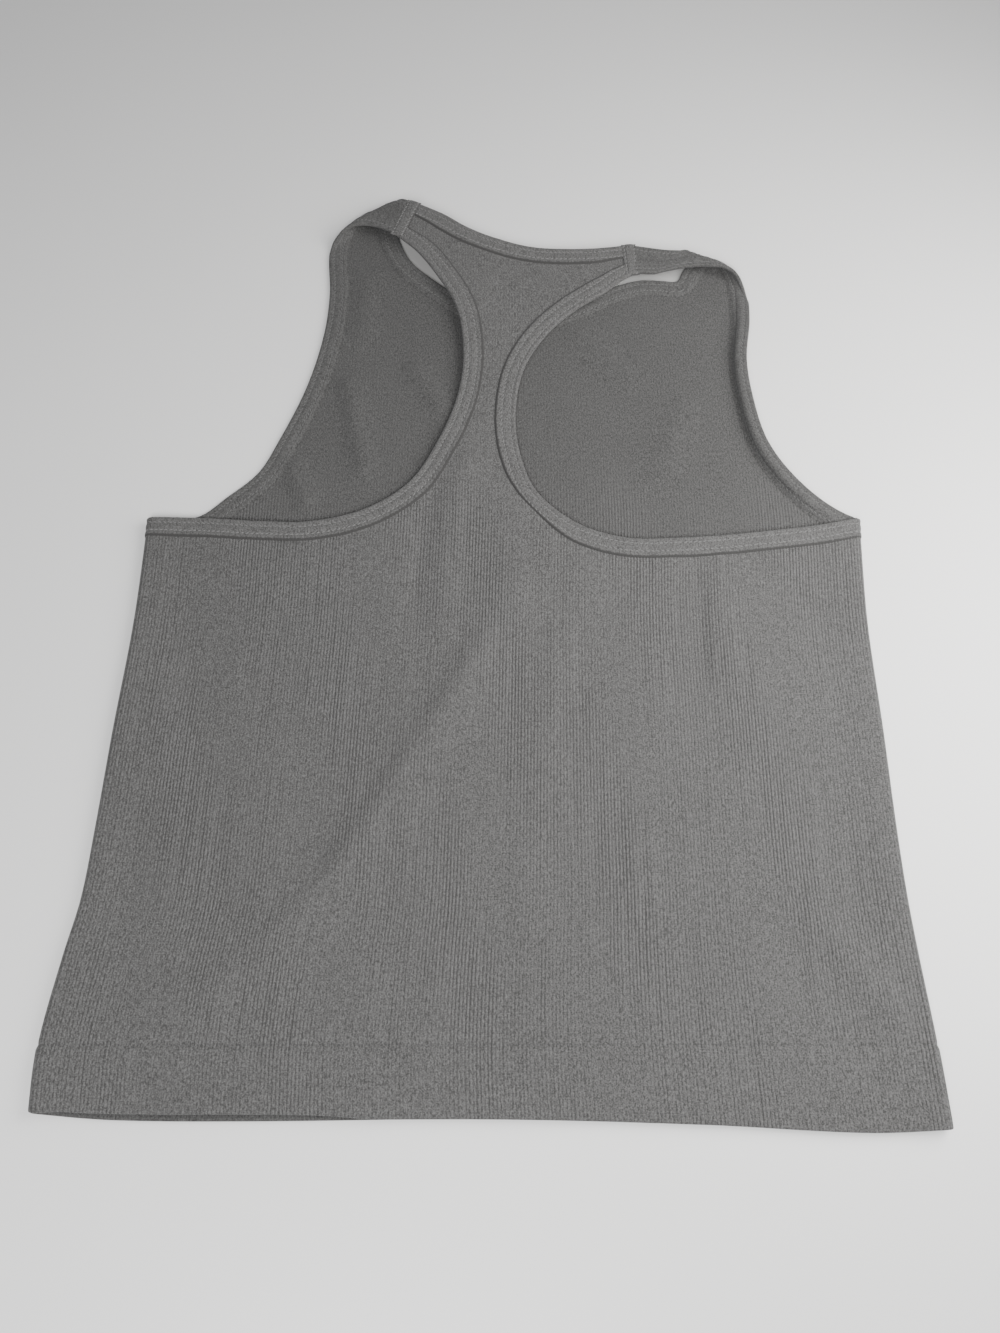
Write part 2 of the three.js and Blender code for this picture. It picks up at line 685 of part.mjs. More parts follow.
// Back panel: ribs on its upper face, a plain face with fewer columns below
function makeBackPanel() {
  const columnCount = rib.count * 2;
  const bodyRows = [0, 0.15, 0.31, 0.47, 0.63, 0.8, 1];
  const upperRows = [0, 0.34, 0.67, 1];
  const columnX = (i, y) => mix(patternEnd(y, -1), patternEnd(y, 1), i / columnCount);
  const topSpan = columnX(columnCount, sideTop) - columnX(0, sideTop);
  const columnAfter = (x) => Math.ceil(((x - patternEnd(sideTop, -1)) / topSpan) * columnCount);

  // Armhole cut lines parted at the point nearest the middle of the racerback
  const part = (line, side) => {
    let tip = 0;
    line.forEach((p, i) => {
      if (side * (line[tip].x - p.x) > 0) tip = i;
    });
    return { low: line.slice(0, tip + 1), high: line.slice(tip), tip: line[tip] };
  };
  const leftCut = part(leftBackArmhole.cut, -1);
  const rightCut = part(rightBackArmhole.cut, 1);
  const heightOn = (line, x) => {
    const index = indexWhere(line, (p) => p.x, x);
    return index === null ? null : pointAt(line, index).y;
  };
  const settlePasses = 5;
  const topOf = (i, line) => {
    let y = sideTop;
    for (let pass = 0; pass < settlePasses; pass += 1) y = heightOn(line, columnX(i, y)) ?? y;
    return y;
  };

  // The two columns that pass just inside the tips
  const firstTip = columnAfter(leftCut.tip.x);
  const lastTip = columnAfter(rightCut.tip.x) - 1;
  const waistY = (i) => mix(leftCut.tip.y, rightCut.tip.y, (i - firstTip) / (lastTip - firstTip));
  const bodyTop = (i) => {
    if (i < firstTip) return topOf(i, leftCut.low);
    if (i > lastTip) return topOf(i, rightCut.low);
    return waistY(i);
  };
  const upperBottom = (i) => {
    if (i < firstTip) return heightOn(leftCut.high, columnX(i, sideTop));
    if (i > lastTip) return heightOn(rightCut.high, columnX(i, sideTop));
    return waistY(i);
  };

  // Flat points of the body's columns
  const body = [];
  for (let i = 0; i <= columnCount; i += 1) {
    const top = bodyTop(i);
    const ys = [welt.depth];
    for (const share of bodyRows) ys.push(mix(welt.depth + welt.step, top, share));
    const column = ys.map((y) => new THREE.Vector3(columnX(i, y), y, i));
    const hemX = columnX(i, 0);
    column.unshift(new THREE.Vector3(hemX, hemAt(hemX), i));
    body.push(column);
  }

  // Flat points of the columns above the racerback's narrowest stretch, with the two shoulder ends
  const shoulderEnd = (armhole, neck, parity) => upperRows.map((share) => {
    const p = armhole.clone().lerp(neck, share);
    p.z = parity;
    return p;
  });
  const shoulderEnds = (edge, shoulder) => [edge, backNeck].map(({ cut }) => (
    pointAt(cut, shoulderIndex(cut, shoulder, 0))
  ));
  const leftEnd = shoulderEnds(leftBackArmhole, shoulders.backLeft);
  const rightEnd = shoulderEnds(rightBackArmhole, shoulders.backRight);
  const firstUpper = columnAfter(Math.max(leftEnd[0].x, leftEnd[1].x) + cloth.seamGap);
  const lastUpper = columnAfter(Math.min(rightEnd[0].x, rightEnd[1].x) - cloth.seamGap) - 1;
  const upper = [shoulderEnd(leftEnd[0], leftEnd[1], 0)];
  for (let i = firstUpper; i <= lastUpper; i += 1) {
    const x = columnX(i, sideTop);
    const [bottom, top] = [upperBottom(i), heightOn(backNeck.cut, x)];
    upper.push(upperRows.map((share) => new THREE.Vector3(x, mix(bottom, top, share), i)));
  }
  upper.push(shoulderEnd(rightEnd[0], rightEnd[1], 0));

  const inWelt = (y) => 1 - smooth(welt.depth, welt.depth + welt.step, y);
  const high = (p) => {
    const ridge = p.z % 2 === 1 ? rib.relief : 0;
    return placeBack(p.x, p.y, cloth.thickness - rib.relief / 2 + ridge + welt.proud * inWelt(p.y));
  };
  const low = (p) => placeBack(p.x, p.y, -welt.proud * inWelt(p.y));

  // Columns kept on the plain underside: enough to follow every cut line closely
  const mustKeep = new Set([firstTip, lastTip]);
  const keepColumns = (columns, lines) => {
    const kept = [0];
    const strays = (from, to) => lines.some((line) => {
      const [a, b] = [columns[from][line], columns[to][line]];
      const span = Math.hypot(b.x - a.x, b.y - a.y);
      for (let k = from + 1; k < to; k += 1) {
        const p = columns[k][line];
        const off = Math.abs((b.x - a.x) * (p.y - a.y) - (b.y - a.y) * (p.x - a.x)) / span;
        if (off > underside.stray) return true;
      }
      return false;
    });
    while (kept[kept.length - 1] < columns.length - 1) {
      const from = kept[kept.length - 1];
      const reaches = (next) => (
        columns[next][0].x - columns[from][0].x < underside.widest
        && !strays(from, next)
        && !mustKeep.has(columns[next - 1][0].z)
      );
      let to = from + 1;
      while (to + 1 < columns.length && reaches(to + 1)) to += 1;
      kept.push(to);
    }
    return kept;
  };
  const bodyKept = keepColumns(body, [body[0].length - 1]);
  const shared = new Set(bodyKept.filter((i) => i >= firstTip && i <= lastTip));
  shared.forEach((i) => mustKeep.add(i));
  const fitsBelow = (i) => i <= firstTip || i >= lastTip || shared.has(i);
  const upperKept = keepColumns(upper, [0, upperRows.length - 1]).filter((k) => fitsBelow(upper[k][0].z));

  const triangles = [];
  const addFaces = (columns, kept) => {
    for (let i = 1; i < columns.length; i += 1) {
      triangles.push(...joinLines(columns[i - 1].map(high), columns[i].map(high)));
    }
    for (let k = 1; k < kept.length; k += 1) {
      triangles.push(...joinLines(columns[kept[k]].map(low), columns[kept[k - 1]].map(low)));
    }
  };
  // Wall between a line of the ribbed face and the same line of the plain face
  const addWall = (columns, kept, line, turned) => {
    for (let k = 1; k < kept.length; k += 1) {
      const [from, to] = [kept[k - 1], kept[k]];
      const middle = Math.floor((from + to) / 2);
      const fan = [];
      for (let i = from; i < to; i += 1) {
        const anchor = i < middle ? from : to;
        fan.push([low(columns[anchor][line]), high(columns[i][line]), high(columns[i + 1][line])]);
        if (i + 1 === middle || (middle === from && i === from)) {
          fan.push([low(columns[from][line]), high(columns[middle][line]), low(columns[to][line])]);
        }
      }
      triangles.push(...(turned ? fan.map(([a, b, c]) => [a, c, b]) : fan));
    }
  };
  const within = (kept, columns, test) => kept.filter((k) => test(columns[k][0].z));
  addFaces(body, bodyKept);
  addFaces(upper, upperKept);
  addWall(body, bodyKept, 0, false);
  addWall(body, within(bodyKept, body, (i) => i <= firstTip), body[0].length - 1, true);
  addWall(body, within(bodyKept, body, (i) => i >= lastTip), body[0].length - 1, true);
  addWall(upper, upperKept, upperRows.length - 1, true);
  const leftUpper = upperKept.filter((k) => k === 0 || (upper[k][0].z > 0 && upper[k][0].z <= firstTip));
  const rightUpper = upperKept.filter((k) => k === upper.length - 1 || upper[k][0].z >= lastTip);
  addWall(upper, leftUpper, 0, false);
  addWall(upper, rightUpper, 0, false);
  const addEnd = (column, turned) => {
    const wall = joinLines(column.map(low), column.map(high));
    triangles.push(...(turned ? wall.map(([a, b, c]) => [a, c, b]) : wall));
  };
  for (const columns of [body, upper]) {
    addEnd(columns[0], false);
    addEnd(columns[columns.length - 1], true);
  }
  return makeMesh('back_panel', triangles, cloth.color);
}

const tankTop = new THREE.Group();
tankTop.add(
  makeBackPanel(),
  makeFrontPanel(),
  makeBackArmhole('armhole_binding_left_back', leftBackArmhole, -1),
  makeBackArmhole('armhole_binding_right_back', rightBackArmhole, 1),
  makeFrontArmhole('armhole_binding_left_front', leftFrontArmhole, -1),
  makeFrontArmhole('armhole_binding_right_front', rightFrontArmhole, 1),
  makeBackNeck(),
  makeFrontNeck(),
);

// The origin is the middle of the garment's box, on the surface that it lies on
const box = new THREE.Box3().setFromObject(tankTop, true);
const centre = box.getCenter(new THREE.Vector3());
for (const mesh of tankTop.children) mesh.position.set(-centre.x, -centre.y, -box.min.z);

export default tankTop;
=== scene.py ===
"""A racerback tank top in fine rib knit, laid flat on a pale surface with its back side up.

Lengths are millimetres on the garment's own drawing: X runs across, Y from the hem to the shoulders and
Z up from the surface. Each piece is drawn on its flat pattern and placed as the cloth lies, and turns
into metres in the frame when its mesh is made.
"""

import math

import bpy
import numpy as np
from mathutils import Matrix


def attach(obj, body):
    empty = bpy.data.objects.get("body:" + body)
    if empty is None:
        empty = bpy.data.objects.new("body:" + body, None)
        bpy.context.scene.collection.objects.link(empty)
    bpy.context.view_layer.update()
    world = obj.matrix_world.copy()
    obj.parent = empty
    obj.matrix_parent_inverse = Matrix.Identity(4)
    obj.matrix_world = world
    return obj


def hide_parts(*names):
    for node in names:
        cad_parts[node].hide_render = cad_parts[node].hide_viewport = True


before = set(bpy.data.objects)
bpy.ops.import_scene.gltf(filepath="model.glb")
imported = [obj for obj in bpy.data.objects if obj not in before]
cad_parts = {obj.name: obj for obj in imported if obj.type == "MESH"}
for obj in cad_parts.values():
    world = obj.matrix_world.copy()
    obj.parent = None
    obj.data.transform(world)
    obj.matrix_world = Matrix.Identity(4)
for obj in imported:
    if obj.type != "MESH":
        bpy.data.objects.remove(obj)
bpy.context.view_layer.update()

# The drawing's origin in the frame, whose own origin is the middle of the garment's box
ORIGIN = (5.0256, -262.3812)
MILLIMETRE = 0.001

# Cloth
THICKNESS = 1.2
RIB_COUNT = 238
RIB_RELIEF = 0.24
RIB_REGIONS = {"hem": 0.75, "hem_from": 20.0, "hem_to": 60.0, "top": 0.25, "top_from": 300.0, "top_to": 345.0}
RIB_PATCHES = [(0.4, 97.0, 210.0, 1.0), (0.25, 41.0, 260.0, 2.6)]
RIB_PROFILE = (0.0, 0.8, 1.0, 0.8)
COURSE = 1.15
WELT = {"depth": 29.0, "step": 2.5, "proud": 0.35, "line": 0.3, "line_width": 0.9}
HEM_ROUND = 0.9
BINDING = {"width": 12.0, "shoulder_width": 9.6, "taper": 26.0, "narrow_run": 26.0, "thickness": 2.4}
BINDING_SUNK = 0.4
BINDING_SIDE_SUNK = 0.6
BINDING_SUNK_FADE = 14.0
PAST_SHOULDER = 8.0
EDGE_SPACING = 1.5

# Lie of the two layers
SIDE_RADIUS = 2.8
SIDE_SPREAD = 13.0
SIDE_FADE = 20.0
STRAP_RADIUS = 5.5
LIFT = {"body": 2.0, "hem": 0.5, "armpit": 3.3, "shoulder": 9.0, "lean": 0.23}
LIFT_ARMPIT = (255.0, 275.0)
LIFT_SHOULDER = (350.0, 497.0)
LIFT_HEM_FADE = 16.0
SAG = {"depth": 1.8, "x": 12.0, "spread": 34.0, "from": 430.0, "to": 490.0}
LAYER_GAP = 0.15

SIDES = {
    "y": [0, 30, 70, 96, 130, 180, 240, 303],
    "left": [-205.5, -206.5, -201.5, -197.2, -195.5, -194, -191.5, -192],
    "right": [196.5, 195.5, 193, 191.8, 191.5, 192, 192, 196],
}
HEM = {"x": [-210, -170, -110, 0, 90, 160, 200], "y": [3.5, 0.5, 0, 1, -1.2, -4.6, -3.2]}
BACK_HEM = {"x": [-212, -203, -190, -150, -85, -48, 200], "y": [0.2, 0.5, 1.9, 2.7, 2.3, 0, 0]}
BACK_HEM_LIFT = {"share": 0.4, "fade": 22.0}
CURLS = {
    "y": [302, 312, 332, 360, 405, 422, 440, 456, 478],
    "degrees": [0, 30, 62, 78, 78, 66, 44, 24, 0],
}
CURL_WALL = {"at": 0.36, "spread": 0.19}
CURL_STEPS = 24

# Shoulder seams, from the neck's edge to the armhole's
SHOULDERS = {
    "back_left": ((-53, 525.5), (-63, 498.5)),
    "back_right": ((78, 490.5), (79.5, 467.5)),
    "front_left": ((-67.3, 544), (-99, 549.5)),
    "front_right": ((118, 530), (139.5, 529)),
}

# Free edges, from the side fold or the left shoulder on, and past each shoulder seam
LEFT_BACK_ARMHOLE = [
    (-200, 302.5), (-163, 302.5), (-128, 300.5), (-104, 300.5), (-75, 308), (-51, 325), (-35, 353),
    (-24, 386), (-21.5, 415), (-26, 445), (-39, 470), (-51, 487), (-63, 498.5), (-68.8, 504),
]
RIGHT_BACK_ARMHOLE = [
    (204, 303.5), (169, 297.5), (127, 292.5), (92, 290), (67, 290.5), (41, 300), (20, 320), (11, 346),
    (9, 373), (14, 401), (27, 424), (45, 442), (64, 455.5), (72, 462.5), (79.5, 467.5), (87, 470),
]
BACK_NECK = [
    (-60, 529.3), (-53, 525.5), (-36, 516.5), (-18, 504.5), (6, 494.5), (30, 489), (55, 488), (78, 490.5),
    (86, 491.4),
]
LEFT_FRONT_ARMHOLE = [
    (-200, 302), (-178, 302.5), (-164, 305.5), (-151, 317), (-135, 333), (-125, 355), (-112, 392),
    (-104.5, 430), (-103, 460), (-105, 495), (-97.5, 532), (-99, 549.5), (-99.7, 557.5),
]
RIGHT_FRONT_ARMHOLE = [
    (204, 302.5), (192, 305), (178.5, 313.5), (164, 330), (152.5, 352.5), (147, 384), (146, 408),
    (149.3, 440), (148.9, 472), (141.2, 505), (139.5, 529), (138.9, 537),
]
FRONT_NECK = [
    (-68, 552), (-67.3, 544), (-65.5, 525), (-62.5, 504), (-54, 485), (-36, 467.5), (-12, 450), (14, 443),
    (40, 450), (66, 464.5), (84, 470.5), (98, 470.5), (107.5, 470), (111.5, 478), (120.6, 491),
    (121.8, 505), (120, 518), (118, 530), (119, 538),
]

# Lines over which the front straps roll back on to the top
STRAP_FOLDS = [
    {"x": -0.58, "y": 0.8146, "reach": 461.2, "bow": 4.5, "middle": 235.5, "half": 26.0, "dent": (1.4, 239.0, 5.0)},
    {"x": 0.7071, "y": 0.7071, "reach": 421.5, "bow": 8.0, "middle": -236.5, "half": 29.5, "dent": (6.4, -257.5, 8.5)},
]

DENT_REACH = 5.0

# Soft ridges and troughs of the back: height, spread and crest
BACK_CREASES = [
    (1.8, 12.0, [(4, 262), (-4, 232), (-19, 203), (-34, 178), (-52, 145), (-75, 111), (-104, 79), (-130, 57)]),
    (1.8, 4.6, [(-8, 230), (-23, 202), (-39, 177), (-57, 144), (-78, 112)]),
    (0.65, 3.4, [(-78, 110), (-108, 77), (-133, 55)]),
    (1.3, 7.0, [(29, 228), (19, 150), (10, 78)]),
    (1.9, 6.0, [(146, 88), (180, 44)]),
    (1.3, 7.0, [(-20, 338), (-24, 300), (-29, 245)]),
    (-1.0, 4.5, [(-37, 318), (-43, 275), (-47, 236)]),
    (0.8, 8.0, [(12, 300), (48, 262)]),
    (0.6, 6.0, [(-6, 318), (6, 280), (10, 250)]),
    (-0.8, 5.0, [(50, 213), (33, 183)]),
    (-1.8, 6.2, [(105, 270), (99, 216), (101, 174)]),
    (1.5, 7.0, [(112, 262), (116, 215)]),
    (0.8, 4.5, [(118, 43), (136, 34)]),
    (0.8, 5.0, [(-160, 181), (-174, 160)]),
    (0.5, 8.0, [(-122, 262), (-134, 205)]),
    (0.45, 7.0, [(66, 128), (78, 60)]),
    (-0.5, 5.0, [(-155, 0), (-155, 24)]),
    (-0.4, 5.0, [(-99, 0), (-99, 22)]),
    (0.55, 1.7, [(-18, 365), (0, 365)]),
    (0.55, 1.7, [(-18, 354), (0, 354)]),
    (0.5, 1.7, [(-17, 341), (1, 341)]),
]

# The same on the front, seen through the armholes
FRONT_CREASES = [
    (2.4, 5.0, [(-88, 392), (-76, 338)]),
    (2.0, 5.0, [(-49, 402), (-33, 378)]),
    (2.2, 4.5, [(-116, 336), (-107, 316)]),
    (1.5, 6.0, [(-80, 470), (-82, 430)]),
    (1.4, 7.0, [(48, 432), (72, 400)]),
    (1.2, 7.0, [(104, 372), (88, 330)]),
]

# Slow unevenness of cloth that has been laid out by hand: height, lengths across and along, and phase
WAVES = [(0.16, 71.0, 133.0, 0.4), (0.11, 43.0, 59.0, 2.1), (0.07, 23.0, 31.0, 4.0)]

# Stitching: distance of each row from the free edge, and the size of one stitch
STITCH_ROWS = (3.4, 8.2)
STITCH = {"pitch": 2.6, "length": 1.9, "width": 0.6, "height": 0.32, "slant": 0.3, "groove": 0.5}
GROOVE_WIDTH = 0.65

# Shoulder seam bands
SEAM_BAND = {"width": 8.8, "proud": 0.45, "depth": 1.8, "rows": (-2.9, 2.9), "wave": 0.3}


# Drawing on the flat pattern


def smooth(low, high, at):
    """Smooth step from 0 at low to 1 at high."""
    share = np.clip((at - low) / (high - low), 0, 1)
    return share * share * (3 - 2 * share)


def mix(a, b, share):
    return a + (b - a) * share


def look_up(table, given, wanted, at):
    """Value of one column of a table at a place between its rows, on a smooth line."""
    known = np.array(table[given], float)
    values = np.array(table[wanted], float)
    at = np.clip(at, known[0], known[-1])
    low = np.clip(np.searchsorted(known, at, "left") - 1, 0, len(known) - 2)
    before = np.maximum(low - 1, 0)
    after = np.minimum(low + 2, len(known) - 1)
    span = known[low + 1] - known[low]
    share = (at - known[low]) / span
    slope_low = (values[low + 1] - values[before]) / (known[low + 1] - known[before])
    slope_high = (values[after] - values[low]) / (known[after] - known[low])
    square = share * share
    cube = square * share
    return (
        (2 * cube - 3 * square + 1) * values[low]
        + (cube - 2 * square + share) * span * slope_low
        + (3 * square - 2 * cube) * values[low + 1]
        + (cube - square) * span * slope_high
    )


def side_at(y, side):
    return look_up(SIDES, "y", "left" if side < 0 else "right", y)


def roll_start(y, side):
    return side_at(y, side) - side * SIDE_RADIUS


def pattern_end(y, side):
    return roll_start(y, side) + side * SIDE_RADIUS * math.pi / 2


def nearest(line, x, y):
    """Distance from points to a line, and the side of it that they lie on, 1 for its left."""
    start, step = line[:-1], np.diff(line, axis=0)
    flat_x, flat_y = np.ravel(x), np.ravel(y)
    off_x, off_y = flat_x[:, None] - start[:, 0], flat_y[:, None] - start[:, 1]
    share = np.clip((off_x * step[:, 0] + off_y * step[:, 1]) / (step**2).sum(1), 0, 1)
    off_x = off_x - share * step[:, 0]
    off_y = off_y - share * step[:, 1]
    apart = np.hypot(off_x, off_y)
    closest = apart.argmin(1)
    row = np.arange(len(closest))
    turn = step[closest, 0] * off_y[row, closest] - step[closest, 1] * off_x[row, closest]
    return apart[row, closest].reshape(np.shape(x)), np.sign(turn).reshape(np.shape(x))


def creases_at(creases, x, y):
    """Height that the soft ridges and troughs add."""
    height = np.zeros(np.shape(x))
    for rise, spread, crest in creases:
        apart, _ = nearest(np.array(crest, float), x, y)
        height += rise * np.exp(-((apart / spread) ** 2) / 2)
    return height


def waves_at(x, y):
    height = np.zeros(np.shape(x))
    for rise, across, along, phase in WAVES:
        height += rise * np.sin(2 * math.pi * x / across + phase) * np.cos(2 * math.pi * y / along - phase)
    return height


def back_height(x, y):
    """Height of the back panel's underside."""
    height = mix(LIFT["body"], LIFT["armpit"], smooth(*LIFT_ARMPIT, y))
    height = height + LIFT["hem"] * (1 - smooth(WELT["depth"], WELT["depth"] + LIFT_HEM_FADE, y))
    leaned = y + LIFT["lean"] * x
    height = mix(height, LIFT["shoulder"], smooth(*LIFT_SHOULDER, leaned))
    sag = np.exp(-(((x - SAG["x"]) / SAG["spread"]) ** 2))
    height = height - SAG["depth"] * smooth(SAG["from"], SAG["to"], leaned) * sag
    height = height + creases_at(BACK_CREASES, x, y) + waves_at(x, y)
    loose = look_up(BACK_HEM, "x", "y", x) * BACK_HEM_LIFT["share"]
    height = height + loose * (1 - smooth(0, BACK_HEM_LIFT["fade"], y))
    under = THICKNESS + 2 * WELT["proud"] * (1 - smooth(WELT["depth"], WELT["depth"] + WELT["step"], y))
    height = np.maximum(height, under + LAYER_GAP)
    top = 2 * SIDE_RADIUS - THICKNESS
    for side in (-1, 1):
        inward = np.maximum(side * (roll_start(y, side) - x), 0)
        share = np.where(y > SIDES["y"][-1] + SIDE_FADE, 0, np.exp(-((inward / SIDE_SPREAD) ** 2)))
        height = mix(height, top, share)
    return height


def stack(x, y, z):
    return np.stack(np.broadcast_arrays(x, y, z), -1)


def place_back(x, y, height):
    """Place of a pattern point of the back at a height above the panel's underside."""
    x, y, height = np.broadcast_arrays(x, y, height)
    placed = stack(x, y, back_height(x, y) + height)
    inner = SIDE_RADIUS - THICKNESS + height
    for side in (-1, 1):
        start = roll_start(y, side)
        beyond = side * (x - start)
        angle = beyond / SIDE_RADIUS
        rolled = stack(start + side * inner * np.sin(angle), y, SIDE_RADIUS + inner * np.cos(angle))
        placed = np.where((beyond > 0)[..., None], rolled, placed)
    return placed


def past_fold(fold, x, y):
    """How far a pattern point of the front lies past a strap's fold line."""
    along = x * fold["y"] - y * fold["x"]
    bow = fold["bow"] * np.maximum(0, 1 - ((along - fold["middle"]) / fold["half"]) ** 2)
    return x * fold["x"] + y * fold["y"] - fold["reach"] - bow


def place_front(x, y, height):
    """Place of a pattern point of the front at a height above the surface that it lies on."""
    x, y, height = np.broadcast_arrays(x, y, height)
    lift = np.maximum(creases_at(FRONT_CREASES, x, y), 0)
    for fold in STRAP_FOLDS:
        lift = lift * (1 - smooth(-8 * STRAP_RADIUS / 2, 0, past_fold(fold, x, y)))
    placed = stack(x, y, height + lift)
    for fold in STRAP_FOLDS:
        beyond = past_fold(fold, x, y)
        radius = STRAP_RADIUS - height
        angle = np.clip(beyond / STRAP_RADIUS, 0, math.pi)
        straight = np.maximum(beyond - STRAP_RADIUS * math.pi, 0)
        depth, at, spread = fold["dent"]
        along = x * fold["y"] - y * fold["x"]
        near_roll = np.exp(-(((beyond - STRAP_RADIUS * math.pi / 2) / DENT_REACH) ** 2))
        dent = depth * np.exp(-(((along - at) / spread) ** 2)) * near_roll
        shift = radius * np.sin(angle) - straight - beyond - dent
        rolled = stack(x + fold["x"] * shift, y + fold["y"] * shift, STRAP_RADIUS - radius * np.cos(angle))
        placed = np.where((beyond > 0)[..., None], rolled, placed)
    for side in (-1, 1):
        start = roll_start(y, side)
        beyond = side * (x - start)
        angle = beyond / SIDE_RADIUS
        radius = SIDE_RADIUS - height
        rolled = stack(start + side * radius * np.sin(angle), y, SIDE_RADIUS - radius * np.cos(angle))
        placed = np.where((beyond > 0)[..., None], rolled, placed)
    return placed


def spine(points):
    """A smooth line through a table's points, in even steps."""
    known = np.array(points, float)
    known = np.vstack([2 * known[0] - known[1], known, 2 * known[-1] - known[-2]])
    share = np.linspace(0, 1, 40, endpoint=False)[:, None]
    fine = []
    for k in range(1, len(known) - 2):
        p0, p1, p2, p3 = known[k - 1 : k + 3]
        d0, d1, d2 = (math.sqrt(np.linalg.norm(b - a)) for a, b in ((p0, p1), (p1, p2), (p2, p3)))
        t1 = ((p1 - p0) / d0 - (p2 - p0) / (d0 + d1) + (p2 - p1) / d1) * d1
        t2 = ((p2 - p1) / d1 - (p3 - p1) / (d1 + d2) + (p3 - p2) / d2) * d1
        fine.append(
            (2 * p1 - 2 * p2 + t1 + t2) * share**3 + (3 * p2 - 3 * p1 - 2 * t1 - t2) * share**2 + t1 * share + p1
        )
    fine = np.vstack([*fine, known[-2:-1]])
    reach = np.concatenate([[0], np.cumsum(np.linalg.norm(np.diff(fine, axis=0), axis=1))])
    at = np.linspace(0, reach[-1], round(reach[-1] / EDGE_SPACING) + 1)
    return np.stack([np.interp(at, reach, fine[:, 0]), np.interp(at, reach, fine[:, 1])], 1), reach[-1]


def make_edge(points, hand, starts_at_shoulder=False, narrow_end=0.0, pinch=None):
    """A free edge and its seam line, as points that match one to one.
    hand is 1 where the cloth lies left of the direction of travel, and -1 where it lies right."""
    free, length = spine(points)
    count = len(free) - 1
    tangent = free[np.minimum(np.arange(count + 1) + 1, count)] - free[np.maximum(np.arange(count + 1) - 1, 0)]
    tangent /= np.linalg.norm(tangent, axis=1)[:, None]
    inward = np.stack([-tangent[:, 1], tangent[:, 0]], 1) * hand
    share = np.arange(count + 1) / count
    near = (1 - share) * length - narrow_end
    if starts_at_shoulder:
        near = np.minimum(near, share * length)
    width = mix(BINDING["shoulder_width"], BINDING["width"], smooth(0, BINDING["taper"], near - PAST_SHOULDER))
    if pinch:
        width = width - pinch["depth"] * np.exp(-(((share - pinch["share"]) / pinch["spread"]) ** 2))
    return {"free": free, "seam": free + inward * width[:, None], "width": width, "hand": hand}


def line_at(line, index):
    """Point, or value, at a fractional index of a line."""
    known = np.arange(len(line))
    if line.ndim == 1:
        return np.interp(index, known, line)
    return np.stack([np.interp(index, known, line[:, 0]), np.interp(index, known, line[:, 1])], -1)


def index_where(line, measure, from_end=False):
    """Fractional index at which a measure taken along a line first changes sign, from either end."""
    values = measure(line)
    changes = np.flatnonzero(values[:-1] * values[1:] <= 0)
    k = changes[-1] if from_end else changes[0]
    return k + values[k] / (values[k] - values[k + 1])


def shoulder_measure(seam):
    (neck_x, neck_y), (arm_x, arm_y) = SHOULDERS[seam]
    run = math.hypot(arm_x - neck_x, arm_y - neck_y)
    return lambda p: ((p[..., 0] - neck_x) * (arm_y - neck_y) - (p[..., 1] - neck_y) * (arm_x - neck_x)) / run


def side_measure(side):
    return lambda p: side * (p[..., 0] - pattern_end(p[..., 1], side))


def ends_of(edge, measures):
    """Indices on the free edge and on the seam line at which an edge starts and ends."""
    return [
        [index_where(edge[line], measure, from_end=last) for line in ("free", "seam")]
        for measure, last in zip(measures, (False, True))
    ]


PINCH = {"share": 0.495, "depth": 3.0, "spread": 0.05}
EDGES = {
    "left_back": make_edge(LEFT_BACK_ARMHOLE, -1),
    "right_back": make_edge(RIGHT_BACK_ARMHOLE, 1, pinch=PINCH),
    "back_neck": make_edge(BACK_NECK, -1, starts_at_shoulder=True),
    "left_front": make_edge(LEFT_FRONT_ARMHOLE, -1),
    "right_front": make_edge(RIGHT_FRONT_ARMHOLE, 1, narrow_end=BINDING["narrow_run"]),
    "front_neck": make_edge(FRONT_NECK, -1, starts_at_shoulder=True, narrow_end=BINDING["narrow_run"]),
}


# Meshes


def make_object(name, points, faces, uv, material, smooth_sets=None, relief=None):
    """One object from points in millimetres, faces of several sizes, and the knit's rib and course numbers.
    smooth_sets says how many of the first sets of faces are shaded smooth, where it isn't all of them.
    relief is the ribs' strength at each point, where it isn't full."""
    used, packed = np.unique(np.concatenate([f.ravel() for f in faces]), return_inverse=True)
    sizes = np.concatenate([np.full(len(f), f.shape[1]) for f in faces])
    places = (points[used] + (*ORIGIN, 0)) * MILLIMETRE
    mesh = bpy.data.meshes.new(name)
    mesh.vertices.add(len(used))
    mesh.vertices.foreach_set("co", places.astype(np.float32).ravel())
    mesh.loops.add(len(packed))
    mesh.loops.foreach_set("vertex_index", packed.astype(np.int32))
    mesh.polygons.add(len(sizes))
    mesh.polygons.foreach_set("loop_start", (np.cumsum(sizes) - sizes).astype(np.int32))
    smooth_count = sum(len(f) for f in faces[:smooth_sets])
    mesh.polygons.foreach_set("use_smooth", np.arange(len(sizes)) < smooth_count)
    mesh.update(calc_edges=True)
    mesh.validate()
    layer = mesh.uv_layers.new(name="knit")
    layer.data.foreach_set("uv", uv[used][packed].astype(np.float32).ravel())
    ribs = mesh.attributes.new("relief", "FLOAT", "POINT")
    strength = np.ones(len(used)) if relief is None else relief[used]
    ribs.data.foreach_set("value", strength.astype(np.float32))
    mesh.materials.append(material)
    made = bpy.data.objects.new(name, mesh)
    bpy.context.scene.collection.objects.link(made)
    return made


